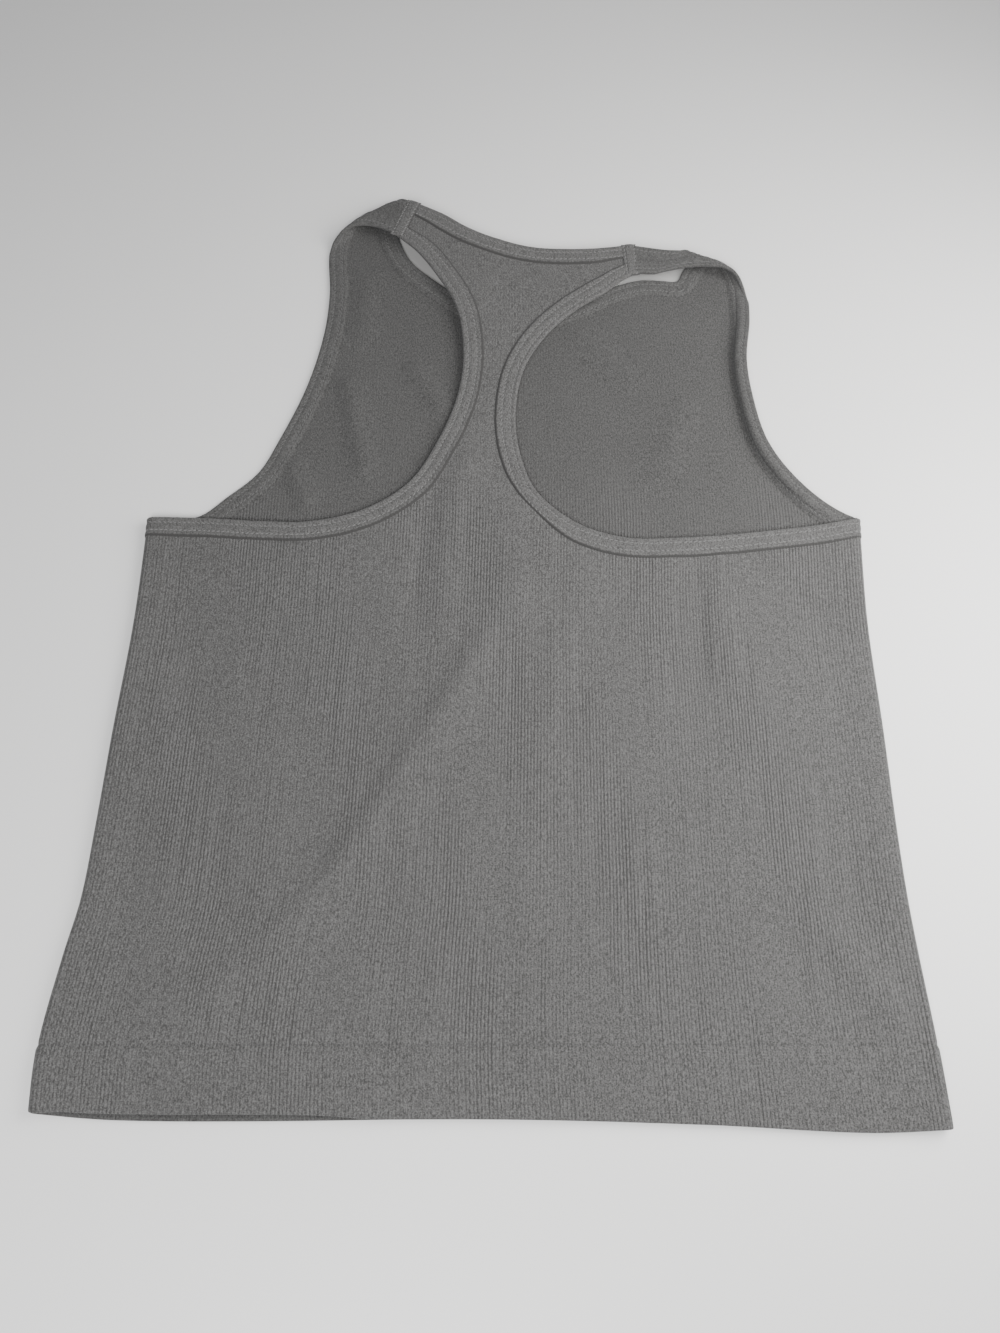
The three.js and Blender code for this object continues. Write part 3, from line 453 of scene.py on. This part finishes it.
def rib_strength(x, y):
    """Share of the ribs' relief, which comes and goes in patches and is low between the armholes."""
    hem = mix(RIB_REGIONS["hem"], 1, smooth(RIB_REGIONS["hem_from"], RIB_REGIONS["hem_to"], y))
    patches = 0.9
    for share, across, along, phase in RIB_PATCHES:
        patches = patches + share * np.sin(2 * math.pi * (x / across + y / along) + phase)
    top = mix(1, RIB_REGIONS["top"], smooth(RIB_REGIONS["top_from"], RIB_REGIONS["top_to"], y))
    return hem * top * patches


def hem_rounding(y):
    """Share of its thickness that the cloth has at a distance from the hem's edge."""
    inward = 1 - np.clip(y / HEM_ROUND, 0, 1)
    return np.sqrt(1 - inward**2)


def panel(name, rows, edges, seams, place, thickness_at, material, inner=1.0, short_of=None):
    """A panel as a closed shell: a grid of ribs and rows, kept where it lies inside the bindings' middles."""
    per_rib = len(RIB_PROFILE)
    columns = np.arange(RIB_COUNT * per_rib + 1)
    y = np.array(rows, float)[:, None] + np.zeros(len(columns))
    share = columns / columns[-1]
    x = mix(pattern_end(y, -1), pattern_end(y, 1), share)
    hem_shift = look_up(HEM, "x", "y", x)
    if short_of:
        hem_shift = hem_shift + look_up(short_of, "x", "y", x)
    hem_shift = hem_shift * (1 - smooth(0, WELT["depth"], y))
    place_y = y + hem_shift

    # A cell is as wide as one rib, and is kept where all its corners are cloth
    corner_x, corner_y = x[:, ::per_rib], place_y[:, ::per_rib]
    inside = np.full(corner_x.shape, 1e3)
    high = np.array(rows) > 270
    for edge in edges:
        apart, hand = nearest(edge["free"], corner_x[high], corner_y[high])
        inside[high] = np.minimum(inside[high], apart * hand * edge["hand"] - COVERED)
    for seam, hand in seams:
        beyond = hand * shoulder_measure(seam)(np.stack([corner_x[high], corner_y[high]], -1))
        middle_x, middle_y = np.mean(SHOULDERS[seam], axis=0)
        same_half = (corner_x[high] - NECK_MIDDLE) * (middle_x - NECK_MIDDLE) > 0
        near_seam = same_half & (corner_y[high] > middle_y - SEAM_REACH)
        inside[high] = np.minimum(inside[high], np.where(near_seam, beyond, np.inf))
    good = inside >= 0
    kept = good[:-1, :-1] & good[1:, :-1] & good[:-1, 1:] & good[1:, 1:]

    relief = rib_strength(x, y) * inner
    ridge = (np.array(RIB_PROFILE)[columns % per_rib] - 0.5) * RIB_RELIEF * relief
    low, high_side = thickness_at(y)
    middle = (low + high_side) / 2
    half = (high_side - low) / 2 * hem_rounding(y)
    upper = place(x, place_y, middle + half + ridge * hem_rounding(y))
    lower = place(x, place_y, middle - half)[:, ::per_rib]

    top = np.arange(upper.shape[0] * upper.shape[1]).reshape(upper.shape[:2])
    base = top.size + np.arange(lower.shape[0] * lower.shape[1]).reshape(lower.shape[:2])
    fine = np.repeat(kept, per_rib, axis=1)
    quads = np.stack([top[:-1, :-1], top[:-1, 1:], top[1:, 1:], top[1:, :-1]], -1)[fine]
    under = np.stack([base[:-1, :-1], base[1:, :-1], base[1:, 1:], base[:-1, 1:]], -1)[kept]
    faces = [quads, under]

    padded = np.pad(kept, 1)
    spans = np.arange(RIB_COUNT) * per_rib
    for row in range(len(rows)):
        above, below = padded[row + 1, 1:-1], padded[row, 1:-1]
        for test, order in ((above & ~below, 1), (below & ~above, -1)):
            k = np.flatnonzero(test)
            if len(k):
                back = [top[row, spans[k] + i] for i in range(per_rib, -1, -1)]
                wall = np.stack([base[row, k], base[row, k + 1], *back], -1)
                faces.append(wall[:, ::order])
    for k in range(RIB_COUNT + 1):
        right, left = padded[1:-1, k + 1], padded[1:-1, k]
        for test, order in ((right & ~left, 1), (left & ~right, -1)):
            row = np.flatnonzero(test)
            if len(row):
                fine_k = k * per_rib
                wall = np.stack([base[row + 1, k], base[row, k], top[row, fine_k], top[row + 1, fine_k]], -1)
                faces.append(wall[:, ::order])

    uv_top = np.stack([np.broadcast_to(columns / per_rib, y.shape), y / COURSE], -1)
    uv = np.concatenate([uv_top.reshape(-1, 2), uv_top[:, ::per_rib].reshape(-1, 2)])
    points = np.concatenate([upper.reshape(-1, 3), lower.reshape(-1, 3)])
    relief = np.concatenate([relief.ravel(), relief[:, ::per_rib].ravel()])
    return make_object(name, points, faces, uv, material, smooth_sets=2, relief=relief)


def curl(turn, length, run):
    """Reach, rise and slope along an edge that stands up and then lies outward again."""

    def slope_at(share):
        return np.exp(-(((share - CURL_WALL["at"]) / CURL_WALL["spread"]) ** 2))

    part = (np.arange(CURL_STEPS) + 0.5) / CURL_STEPS
    share = run / length
    slope = turn[..., None] * slope_at(share[..., None] * part)
    return np.cos(slope).mean(-1) * run, np.sin(slope).mean(-1) * run, turn * slope_at(share)


def binding_place(edge, place, low_at, curled):
    """Turns an index along an edge, a distance from its seam and a height into a place."""

    def placed(index, across, height):
        free, seam = line_at(edge["free"], index[0]), line_at(edge["seam"], index[1])
        outward = free - seam
        width = np.linalg.norm(outward, axis=-1)
        outward = outward / width[..., None]
        height = height + low_at(free)
        if curled:
            turn = np.radians(look_up(CURLS, "y", "degrees", free[..., 1]))
            middle = BINDING["thickness"] / 2
            reach, rise, slope = curl(turn, width, across)
            proud = height - middle
            across = reach - proud * np.sin(slope)
            height = middle + rise + proud * np.cos(slope)
        return place(seam[..., 0] + outward[..., 0] * across, seam[..., 1] + outward[..., 1] * across, height)

    return placed


def width_at(edge, index):
    return np.linalg.norm(line_at(edge["free"], index[0]) - line_at(edge["seam"], index[1]), axis=-1)


def binding_faces_at(width, across, rim):
    """Heights of a binding's lower and upper face at a distance from its seam, above its own underside."""
    half = BINDING["thickness"] / 2
    from_free = width - across
    free_round = np.sqrt(np.clip(1 - (1 - np.clip(from_free / half, 0, 1)) ** 2, 0, 1))
    under_round = mix(SEAM_EDGE["share"], 1, smooth(0, SEAM_EDGE["run"], across))
    upper_round = mix(rim["share"], 1, smooth(0, rim["run"], across))
    groove = sum(np.exp(-(((from_free - row) / GROOVE_WIDTH) ** 2)) for row in STITCH_ROWS)
    puff = half * free_round
    cut = STITCH["groove"] * groove * free_round
    return half - puff * under_round + cut, half + puff * upper_round - cut


def binding(name, edge, measures, place, low_at, material, rim, curled=False):
    """A binding swept along its edge, with softly rounded sides and a groove under each row of stitches."""
    (free_from, seam_from), (free_to, seam_to) = ends_of(edge, measures)
    steps = round(abs(free_to - free_from)) + 1
    share = np.linspace(0, 1, steps)[:, None]
    index = (mix(free_from, free_to, share), mix(seam_from, seam_to, share))
    width = width_at(edge, index)
    around = (1 - np.cos(np.linspace(0, math.pi, SECTION_STEPS))) / 2
    across = width * around
    low, high = binding_faces_at(width, across, rim)
    put = binding_place(edge, place, low_at, curled)
    lower, upper = put(index, across, low), put(index, across, high)
    rings = np.concatenate([lower, upper[:, -2::-1]], axis=1)
    count = rings.shape[1]
    number = np.arange(steps * count).reshape(steps, count)
    turned = np.roll(number, -1, axis=1)
    sides = np.stack([number[:-1], turned[:-1], turned[1:], number[1:]], -1).reshape(-1, 4)
    order = 1 if edge["hand"] > 0 else -1
    caps = [number[:1, ::-1], number[-1:]]
    faces = [sides[:, ::order]] + [cap[:, ::order] for cap in caps]
    along = np.arange(steps)[:, None] * EDGE_SPACING / BINDING_RIB
    down = np.concatenate([across, across[:, -2::-1]], axis=1) / COURSE
    uv = np.stack([np.broadcast_to(along, down.shape), down], -1).reshape(-1, 2)
    made = make_object(name, rings.reshape(-1, 3), faces, uv, material)
    return made, index, put


def stitch_shape():
    """One stitch as a small rounded bar: its rings of points, and its faces."""
    turns = np.arange(6) * math.pi / 3
    rings = [(-0.5, 0.25), (-0.3, 0.9), (0.0, 1.0), (0.3, 0.9), (0.5, 0.25)]
    points = np.array([(t, r * math.cos(a) / 2, r * math.sin(a)) for t, r in rings for a in turns])
    number = np.arange(len(points)).reshape(len(rings), len(turns))
    turned = np.roll(number, -1, axis=1)
    faces = np.stack([number[:-1], number[1:], turned[1:], turned[:-1]], -1).reshape(-1, 4)
    return points, faces, np.stack([number[0], number[-1][::-1]])


def stitches(name, edge, index, put, faces_up, material, rim):
    """Rows of stitches along a binding, sunk half way into its faces."""
    shape, sides, caps = stitch_shape()
    length = abs(float(index[0][-1, 0] - index[0][0, 0])) * EDGE_SPACING
    count = int(length / STITCH["pitch"])
    points, quads, ends = [], [], []
    for row_number, from_free in enumerate(STITCH_ROWS):
        centre = (np.arange(count) + 0.5 + 0.35 * row_number) / (count + 0.5)
        slant = STITCH["slant"] * (1 if row_number else -1)
        along = centre[:, None] + shape[:, 0] * STITCH["length"] / length
        spot = [mix(float(line[0, 0]), float(line[-1, 0]), along) for line in index]
        width = width_at(edge, spot)
        across = width - from_free + shape[:, 1] * STITCH["width"] + shape[:, 0] * slant * STITCH["length"]
        low, high = binding_faces_at(width, across, rim)
        for face in faces_up:
            surface = high if face > 0 else low
            rise = shape[:, 2] * STITCH["height"]
            placed = put(spot, across, surface + rise).reshape(-1, 3)
            first = sum(len(p) for p in points) + np.arange(count)[:, None, None] * len(shape)
            points.append(placed)
            quads.append((first + sides).reshape(-1, 4))
            ends.append((first + caps).reshape(-1, 6))
    points = np.concatenate(points)
    faces = [np.concatenate(quads), np.concatenate(ends)]
    return make_object(name, points, faces, np.zeros((len(points), 2)), material)


def seam_band(name, seam, material, thread):
    """The sewn band across a shoulder, with a row of stitches near each side."""
    neck, arm = (np.array(p, float) for p in SHOULDERS[seam])
    run = np.linalg.norm(arm - neck)
    along_way = (arm - neck) / run
    across_way = np.array([along_way[1], -along_way[0]])
    along = np.linspace(-0.3, run + 0.3, 40)[:, None]
    wave = SEAM_BAND["wave"] * np.sin(along * 1.9) * np.cos(along * 0.7)
    around = np.linspace(-1, 1, 23)
    across = SEAM_BAND["width"] / 2 * around + wave
    end = np.sqrt(np.clip(1 - (1 - np.clip(np.minimum(along + 0.3, run + 0.3 - along) / 1.2, 0, 1)) ** 2, 0, 1))
    groove = sum(np.exp(-(((across - row) / GROOVE_WIDTH) ** 2)) for row in SEAM_BAND["rows"])

    def surface(along_at):
        spot = neck + along_way * np.clip(along_at, 0, run)[..., None]
        return place_back(spot[..., 0], spot[..., 1], BINDING["thickness"] - BINDING_SUNK)[..., 2]

    level = surface(along[:, 0])[:, None]
    bulge = np.sqrt(np.clip(1 - around**4, 0, 1))
    middle = level - SEAM_BAND["depth"] / 2 + SEAM_BAND["proud"] / 2
    half = (SEAM_BAND["depth"] + SEAM_BAND["proud"]) / 2 * bulge * end
    top, bottom = middle + half - STITCH["groove"] * groove * end, middle - half
    spot = neck + along_way * along[..., None] + across_way * across[..., None]
    upper = np.concatenate([spot, top[..., None]], -1)
    lower = np.concatenate([spot, bottom[..., None]], -1)
    rings = np.concatenate([upper, lower[:, -2:0:-1]], axis=1)
    number = np.arange(rings.shape[0] * rings.shape[1]).reshape(rings.shape[:2])
    turned = np.roll(number, -1, axis=1)
    sides = np.stack([number[:-1], number[1:], turned[1:], turned[:-1]], -1).reshape(-1, 4)
    uv = np.stack([np.broadcast_to(along / BINDING_RIB, rings.shape[:2]), number % rings.shape[1] / COURSE], -1)
    band = make_object(name, rings.reshape(-1, 3), [sides, number[:1], number[-1:, ::-1]], uv.reshape(-1, 2), material)

    shape, quads, caps = stitch_shape()
    count = int(run / STITCH["pitch"])
    points, faces, ends = [], [], []
    for row in SEAM_BAND["rows"]:
        centre = (np.arange(count) + 0.5) * run / count
        at = centre[:, None] + shape[:, 0] * STITCH["length"]
        off = row + shape[:, 1] * STITCH["width"] + shape[:, 0] * 0.6
        rise = surface(at) + SEAM_BAND["proud"] - STITCH["groove"] + shape[:, 2] * STITCH["height"]
        spot = neck + along_way * at[..., None] + across_way * off[..., None]
        first = sum(len(p) for p in points) + np.arange(count)[:, None, None] * len(shape)
        points.append(np.concatenate([spot, rise[..., None]], -1).reshape(-1, 3))
        faces.append((first + quads).reshape(-1, 4))
        ends.append((first + caps).reshape(-1, 6))
    points = np.concatenate(points)
    sewn = [np.concatenate(faces), np.concatenate(ends)]
    rows = make_object(name + "_stitches", points, sewn, np.zeros((len(points), 2)), thread)
    return band, rows


SEAM_REACH = 45.0
NECK_MIDDLE = 20.0
# Width of the painted shade along a binding's seam, in courses
SEAM_SHADE = 1.35
SEAM_EDGE = {"share": 0.45, "run": 0.9}
INNER_SEAM_EDGE = {"share": 0.12, "run": 3.4}
SECTION_STEPS = 22
BINDING_RIB = 1.64
COVERED = 4.5


# Materials


class Shader:
    """A material whose nodes are added one by one."""

    def __init__(self, name, roughness, sheen=0.0):
        self.material = bpy.data.materials.new(name)
        self.material.use_nodes = True
        self.tree = self.material.node_tree
        self.surface = self.tree.nodes["Principled BSDF"]
        self.surface.inputs["Roughness"].default_value = roughness
        self.surface.inputs["Specular IOR Level"].default_value = 0.25
        self.surface.inputs["Sheen Weight"].default_value = sheen
        self.surface.inputs["Sheen Roughness"].default_value = 0.6

    def add(self, kind, **values):
        node = self.tree.nodes.new(kind)
        for name, value in values.items():
            setattr(node, name, value)
        return node

    def join(self, socket, value):
        if isinstance(value, bpy.types.NodeSocket):
            self.tree.links.new(value, socket)
        else:
            socket.default_value = value

    def math(self, operation, first, second=0.0):
        node = self.add("ShaderNodeMath", operation=operation)
        self.join(node.inputs[0], first)
        self.join(node.inputs[1], second)
        return node.outputs[0]

    def noise(self, vector, scale, detail=2.0, stretch=(1, 1, 1)):
        mapping = self.add("ShaderNodeMapping")
        mapping.inputs["Scale"].default_value = stretch
        self.join(mapping.inputs["Vector"], vector)
        node = self.add("ShaderNodeTexNoise")
        node.inputs["Scale"].default_value = scale
        node.inputs["Detail"].default_value = detail
        self.join(node.inputs["Vector"], mapping.outputs[0])
        return node.outputs["Fac"]

    def blend(self, share, first, second):
        node = self.add("ShaderNodeMix", data_type="RGBA")
        self.join(node.inputs["Factor"], share)
        self.join(node.inputs["A"], (*first, 1))
        self.join(node.inputs["B"], (*second, 1))
        return node.outputs["Result"]

    def bump(self, height, distance, strength=1.0):
        node = self.add("ShaderNodeBump")
        node.inputs["Strength"].default_value = strength
        node.inputs["Distance"].default_value = distance
        self.join(node.inputs["Height"], height)
        self.join(self.surface.inputs["Normal"], node.outputs[0])


def knit_material(name, dark, light, valley_shade_and_yarn, bump_rib, painted_seam_shade=0.0, welt_line=0.0):
    """Fine rib knit: uneven valleys between ribs, V-shaped stitches, heathered yarn and a little fuzz. The valleys are
    darkened in colour, partly painted shade and partly the yarn's own tone, and painted shade darkens a binding's seam.
    """
    made = Shader(name, roughness=0.95, sheen=0.1)
    place = made.add("ShaderNodeTexCoord").outputs["Object"]
    split = made.add("ShaderNodeSeparateXYZ")
    made.join(split.inputs[0], made.add("ShaderNodeUVMap", uv_map="knit").outputs[0])
    rib, course = split.outputs[0], split.outputs[1]
    swing = made.math("COSINE", made.math("MULTIPLY", rib, 2 * math.pi))
    valley = made.math("MULTIPLY_ADD", swing, 0.5)
    valley.node.inputs[2].default_value = 0.5
    knit = made.add("ShaderNodeUVMap", uv_map="knit").outputs[0]
    uneven = made.noise(knit, 1.0, detail=2.0, stretch=(0.6, 0.014, 1))
    streak = made.math("MULTIPLY", made.math("SUBTRACT", uneven, 0.15), 1.8)
    relief = made.add("ShaderNodeAttribute", attribute_name="relief").outputs["Fac"]
    streak = made.math("MULTIPLY", streak, relief)
    valley = made.math("MULTIPLY", made.math("POWER", valley, 2.2), streak)
    lean = made.math("ABSOLUTE", made.math("SUBTRACT", made.math("FRACT", rib), 0.5))
    stitch = made.math("SINE", made.math("MULTIPLY", made.math("ADD", course, lean), 2 * math.pi))
    heather = made.noise(place, 1500, detail=2.0)
    fibres = made.noise(place, 1600, detail=2.0, stretch=(1, 0.4, 1))
    cloudy = made.noise(place, 26, detail=2.0)
    share = made.math("ADD", made.math("MULTIPLY", heather, 2.3), made.math("MULTIPLY", fibres, 1.7))
    share = made.math("ADD", share, made.math("MULTIPLY", cloudy, 0.12))
    # The valleys between ribs are darkened in colour: partly painted shade in the grooves, partly the yarn's own darker
    # tone
    share = made.math("SUBTRACT", share, made.math("MULTIPLY", valley, valley_shade_and_yarn))
    share = made.math("ADD", share, made.math("MULTIPLY", stitch, 0.05))
    # Painted shade along a binding's seam, where it meets the panel, over its first SEAM_SHADE courses
    if painted_seam_shade:
        near = made.math("SUBTRACT", 1.0, made.math("DIVIDE", course, SEAM_SHADE))
        share = made.math("SUBTRACT", share, made.math("MULTIPLY", made.math("MAXIMUM", near, 0.0), painted_seam_shade))
    if welt_line:
        apart = made.math("ABSOLUTE", made.math("SUBTRACT", course, (WELT["depth"] + WELT["step"]) / COURSE))
        near = made.math("MAXIMUM", made.math("SUBTRACT", 1.0, apart), 0.0)
        share = made.math("SUBTRACT", share, made.math("MULTIPLY", near, welt_line))
    share = made.math("SUBTRACT", share, made.math("MULTIPLY", made.math("SUBTRACT", 1.0, relief), 0.15))
    share = made.math("SUBTRACT", share, 1.45)
    made.join(made.surface.inputs["Base Color"], made.blend(share, dark, light))
    height = made.math("MULTIPLY", stitch, 0.07)
    height = made.math("SUBTRACT", height, made.math("MULTIPLY", valley, bump_rib))
    height = made.math("ADD", height, made.math("MULTIPLY", fibres, 0.8))
    made.bump(height, 0.00022)
    return made.material


def thread_material(name, dark, light):
    made = Shader(name, roughness=0.8, sheen=0.1)
    place = made.add("ShaderNodeTexCoord").outputs["Object"]
    share = made.noise(place, 1800, detail=2.0)
    made.join(made.surface.inputs["Base Color"], made.blend(share, dark, light))
    made.bump(share, 0.0001)
    return made.material


# Shade on the floor in the slits under the two straps: middle, direction, and reach along and across
FLOOR_SHADES = [
    ((-48, 484), (0.64, -0.768), 52.0, 16.0),
    ((100, 475), (1.0, 0.12), 46.0, 16.0),
]
FLOOR_SHADE_DEPTH = 0.9


def floor_material():
    made = Shader("pale_surface", roughness=0.4)
    made.surface.inputs["Specular IOR Level"].default_value = 0.5
    place = made.add("ShaderNodeTexCoord").outputs["Object"]
    split = made.add("ShaderNodeSeparateXYZ")
    made.join(split.inputs[0], place)
    shade = 0.0
    for (x, y), (way_x, way_y), along, across in FLOOR_SHADES:
        off_x = made.math("SUBTRACT", split.outputs[0], (x + ORIGIN[0]) * MILLIMETRE)
        off_y = made.math("SUBTRACT", split.outputs[1], (y + ORIGIN[1]) * MILLIMETRE)
        apart = 0.0
        for turn_x, turn_y, reach in ((way_x, way_y, along), (-way_y, way_x, across)):
            run = made.math("ADD", made.math("MULTIPLY", off_x, turn_x), made.math("MULTIPLY", off_y, turn_y))
            run = made.math("DIVIDE", run, reach * MILLIMETRE)
            apart = made.math("ADD", made.math("MULTIPLY", run, run), apart)
        near = made.math("MAXIMUM", made.math("SUBTRACT", 1.0, apart), 0.0)
        shade = made.math("ADD", made.math("POWER", near, 0.5), shade)
    share = made.math("ADD", made.math("MULTIPLY", made.noise(place, 3, detail=2.0), 0.08), 0.92)
    share = made.math("SUBTRACT", share, made.math("MULTIPLY", shade, FLOOR_SHADE_DEPTH))
    made.join(made.surface.inputs["Base Color"], made.blend(share, (0.38, 0.375, 0.365), (0.83, 0.825, 0.815)))
    return made.material


CLOTH_DARK, CLOTH_LIGHT = (0.04, 0.039, 0.038), (0.121, 0.119, 0.117)
TRIM_DARK, TRIM_LIGHT = (0.038, 0.037, 0.036), (0.115, 0.113, 0.111)
# Painted shade: the front's inner face and its bindings take a darker copy of the knit's colours
SHADED_INNER_DARK, SHADED_INNER_LIGHT = (0.031, 0.0303, 0.0294), (0.089, 0.0877, 0.0859)
rib_knit = knit_material("rib_knit", CLOTH_DARK, CLOTH_LIGHT, valley_shade_and_yarn=0.62, bump_rib=0.35, welt_line=0.1)
shaded_inner_knit = knit_material("rib_knit_inner_shaded", SHADED_INNER_DARK, SHADED_INNER_LIGHT, valley_shade_and_yarn=0.22, bump_rib=0.1)
binding_knit = knit_material("binding_knit", TRIM_DARK, TRIM_LIGHT, valley_shade_and_yarn=0.12, bump_rib=0.5, painted_seam_shade=2.1)
shaded_inner_binding = knit_material("binding_knit_inner_shaded", SHADED_INNER_DARK, SHADED_INNER_LIGHT, valley_shade_and_yarn=0.1, bump_rib=0.4, painted_seam_shade=0.25)
thread = thread_material("thread", (0.099, 0.098, 0.096), (0.2, 0.198, 0.194))
# Painted shade: a darker copy of the thread for the front's bindings
shaded_inner_thread = thread_material("thread_inner_shaded", (0.074, 0.073, 0.072), (0.146, 0.144, 0.141))


# The garment


def row_heights():
    """Rows of the back panel, close together where it bends and across the puckers."""
    hem = [0, 0.12, 0.35, 0.9, 1.8]
    welt = [*np.arange(5, 27, 5.5), 27.5, 28.5, 29, 29.5, 30.5, 31.5, 33]
    body = list(np.arange(38, 298, 5.6))
    armpit = list(np.arange(299, 332, 3.6))
    waist = list(np.arange(334, 374, 2))
    rest = list(np.arange(376, 532, 3.6))
    return [*hem, *welt, *body, *armpit, *waist, *rest]


def front_row_heights():
    hem = [0, 0.12, 0.35, 0.9, 1.8, 12, 22, 28, 29, 30, 31.5, 34]
    return [*hem, *np.arange(50, 270, 20), *np.arange(274, 430, 4), *np.arange(431.5, 556, 1.6)]


def welted(y):
    return 1 - smooth(WELT["depth"], WELT["depth"] + WELT["step"], y)


def back_thickness(y):
    """Heights of the back panel's two faces, with a faint line above the hem."""
    line = WELT["line"] * np.exp(-(((y - WELT["depth"] - WELT["step"]) / WELT["line_width"]) ** 2))
    return -WELT["proud"] * welted(y), THICKNESS + WELT["proud"] * welted(y) - line


def front_thickness(y):
    recess = 0.2 * smooth(420, 440, y)
    return recess, THICKNESS + 2 * WELT["proud"] * welted(y) + 0 * y


def back_low(side):
    """Height of a back armhole binding's underside, which sinks to meet the front's at the side fold."""

    def low_at(free):
        inward = side * (roll_start(free[..., 1], side) - free[..., 0])
        return -mix(BINDING_SUNK, BINDING_SIDE_SUNK, 1 - smooth(0, BINDING_SUNK_FADE, inward))

    return low_at


def neck_low(free):
    return np.full(free.shape[:-1], -BINDING_SUNK)


def front_low(free):
    return np.zeros(free.shape[:-1])


back_panel = panel(
    "back_panel_cloth",
    row_heights(),
    [EDGES["left_back"], EDGES["right_back"], EDGES["back_neck"]],
    [("back_left", -1), ("back_right", 1)],
    place_back,
    back_thickness,
    rib_knit,
    short_of=BACK_HEM,
)
front_panel = panel(
    "front_panel_cloth",
    front_row_heights(),
    [EDGES["left_front"], EDGES["right_front"], EDGES["front_neck"]],
    [("front_left", -1), ("front_right", 1)],
    place_front,
    front_thickness,
    shaded_inner_knit,
    inner=1.3,
)

BINDINGS = [
    ("armhole_binding_left_back", "left_back", (side_measure(-1), shoulder_measure("back_left")), back_low(-1), (1,)),
    ("armhole_binding_right_back", "right_back", (side_measure(1), shoulder_measure("back_right")), back_low(1), (1,)),
    ("neck_binding_back", "back_neck", (shoulder_measure("back_left"), shoulder_measure("back_right")), neck_low, (1,)),
    ("armhole_binding_left_front", "left_front", (side_measure(-1), shoulder_measure("front_left")), front_low, (1, -1)),
    ("armhole_binding_right_front", "right_front", (side_measure(1), shoulder_measure("front_right")), front_low, (1, -1)),
    ("neck_binding_front", "front_neck", (shoulder_measure("front_left"), shoulder_measure("front_right")), front_low, (1, -1)),
]

back_trim, front_trim = [], []
for node, edge_name, measures, low_at, faces_up in BINDINGS:
    edge = EDGES[edge_name]
    is_back = node.endswith("back")
    place = place_back if is_back else place_front
    curled = edge_name == "right_front"
    knit, rim = (binding_knit, SEAM_EDGE) if is_back else (shaded_inner_binding, INNER_SEAM_EDGE)
    sewing = thread if is_back else shaded_inner_thread
    piece, index, put = binding(node + "_cloth", edge, measures, place, low_at, knit, rim, curled)
    sewn = stitches(node + "_stitches", edge, index, put, faces_up, sewing, rim)
    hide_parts(node)
    (back_trim if is_back else front_trim).extend([piece, sewn])

for seam, name in (("back_left", "shoulder_seam_left"), ("back_right", "shoulder_seam_right")):
    band, rows = seam_band(name, seam, binding_knit, thread)
    back_trim.extend([band, rows])

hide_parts("back_panel")
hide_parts("front_panel")
for piece in (back_panel, front_panel, *back_trim, *front_trim):
    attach(piece, "root")


# Floor, light and camera

FLOOR_DROP = 0.0003
bpy.ops.mesh.primitive_plane_add(size=6, location=(0, 0, -FLOOR_DROP))
floor = bpy.context.object
floor.name = "floor"
floor.data.materials.append(floor_material())


def area_light(name, place, target, size, power, color):
    data = bpy.data.lights.new(name, "AREA")
    data.shape = "DISK"
    data.size = size
    data.energy = power
    data.color = color
    lamp = bpy.data.objects.new(name, data)
    lamp.location = place
    way = np.array(target, float) - np.array(place, float)
    lamp.visible_camera = False
    lamp.rotation_euler = (math.acos(-way[2] / np.linalg.norm(way)), 0, math.atan2(-way[0], way[1]) + 0.0)
    bpy.context.scene.collection.objects.link(lamp)
    return lamp


area_light("key", (0.36, 0.0, 0.32), (0, 0, 0), 0.5, 4.6, (1.0, 0.995, 0.985))
area_light("front", (-0.12, -0.73, 0.86), (0, 0, 0), 0.57, 15.6, (0.99, 0.995, 1.0))

world = bpy.data.worlds.new("soft_room")
world.use_nodes = True
world.node_tree.nodes["Background"].inputs["Color"].default_value = (0.95, 0.96, 1.0, 1)
world.node_tree.nodes["Background"].inputs["Strength"].default_value = 0.2
bpy.context.scene.world = world

CAMERA_HEIGHT = 0.51
CAMERA_TILT = 23.0
camera_data = bpy.data.cameras.new("camera")
camera_data.lens = 28.95
camera = bpy.data.objects.new("camera", camera_data)
camera.location = (ORIGIN[0] * MILLIMETRE, ORIGIN[1] * MILLIMETRE, CAMERA_HEIGHT)
camera.rotation_euler = (math.radians(CAMERA_TILT), 0, 0)
bpy.context.scene.collection.objects.link(camera)
bpy.context.scene.camera = camera
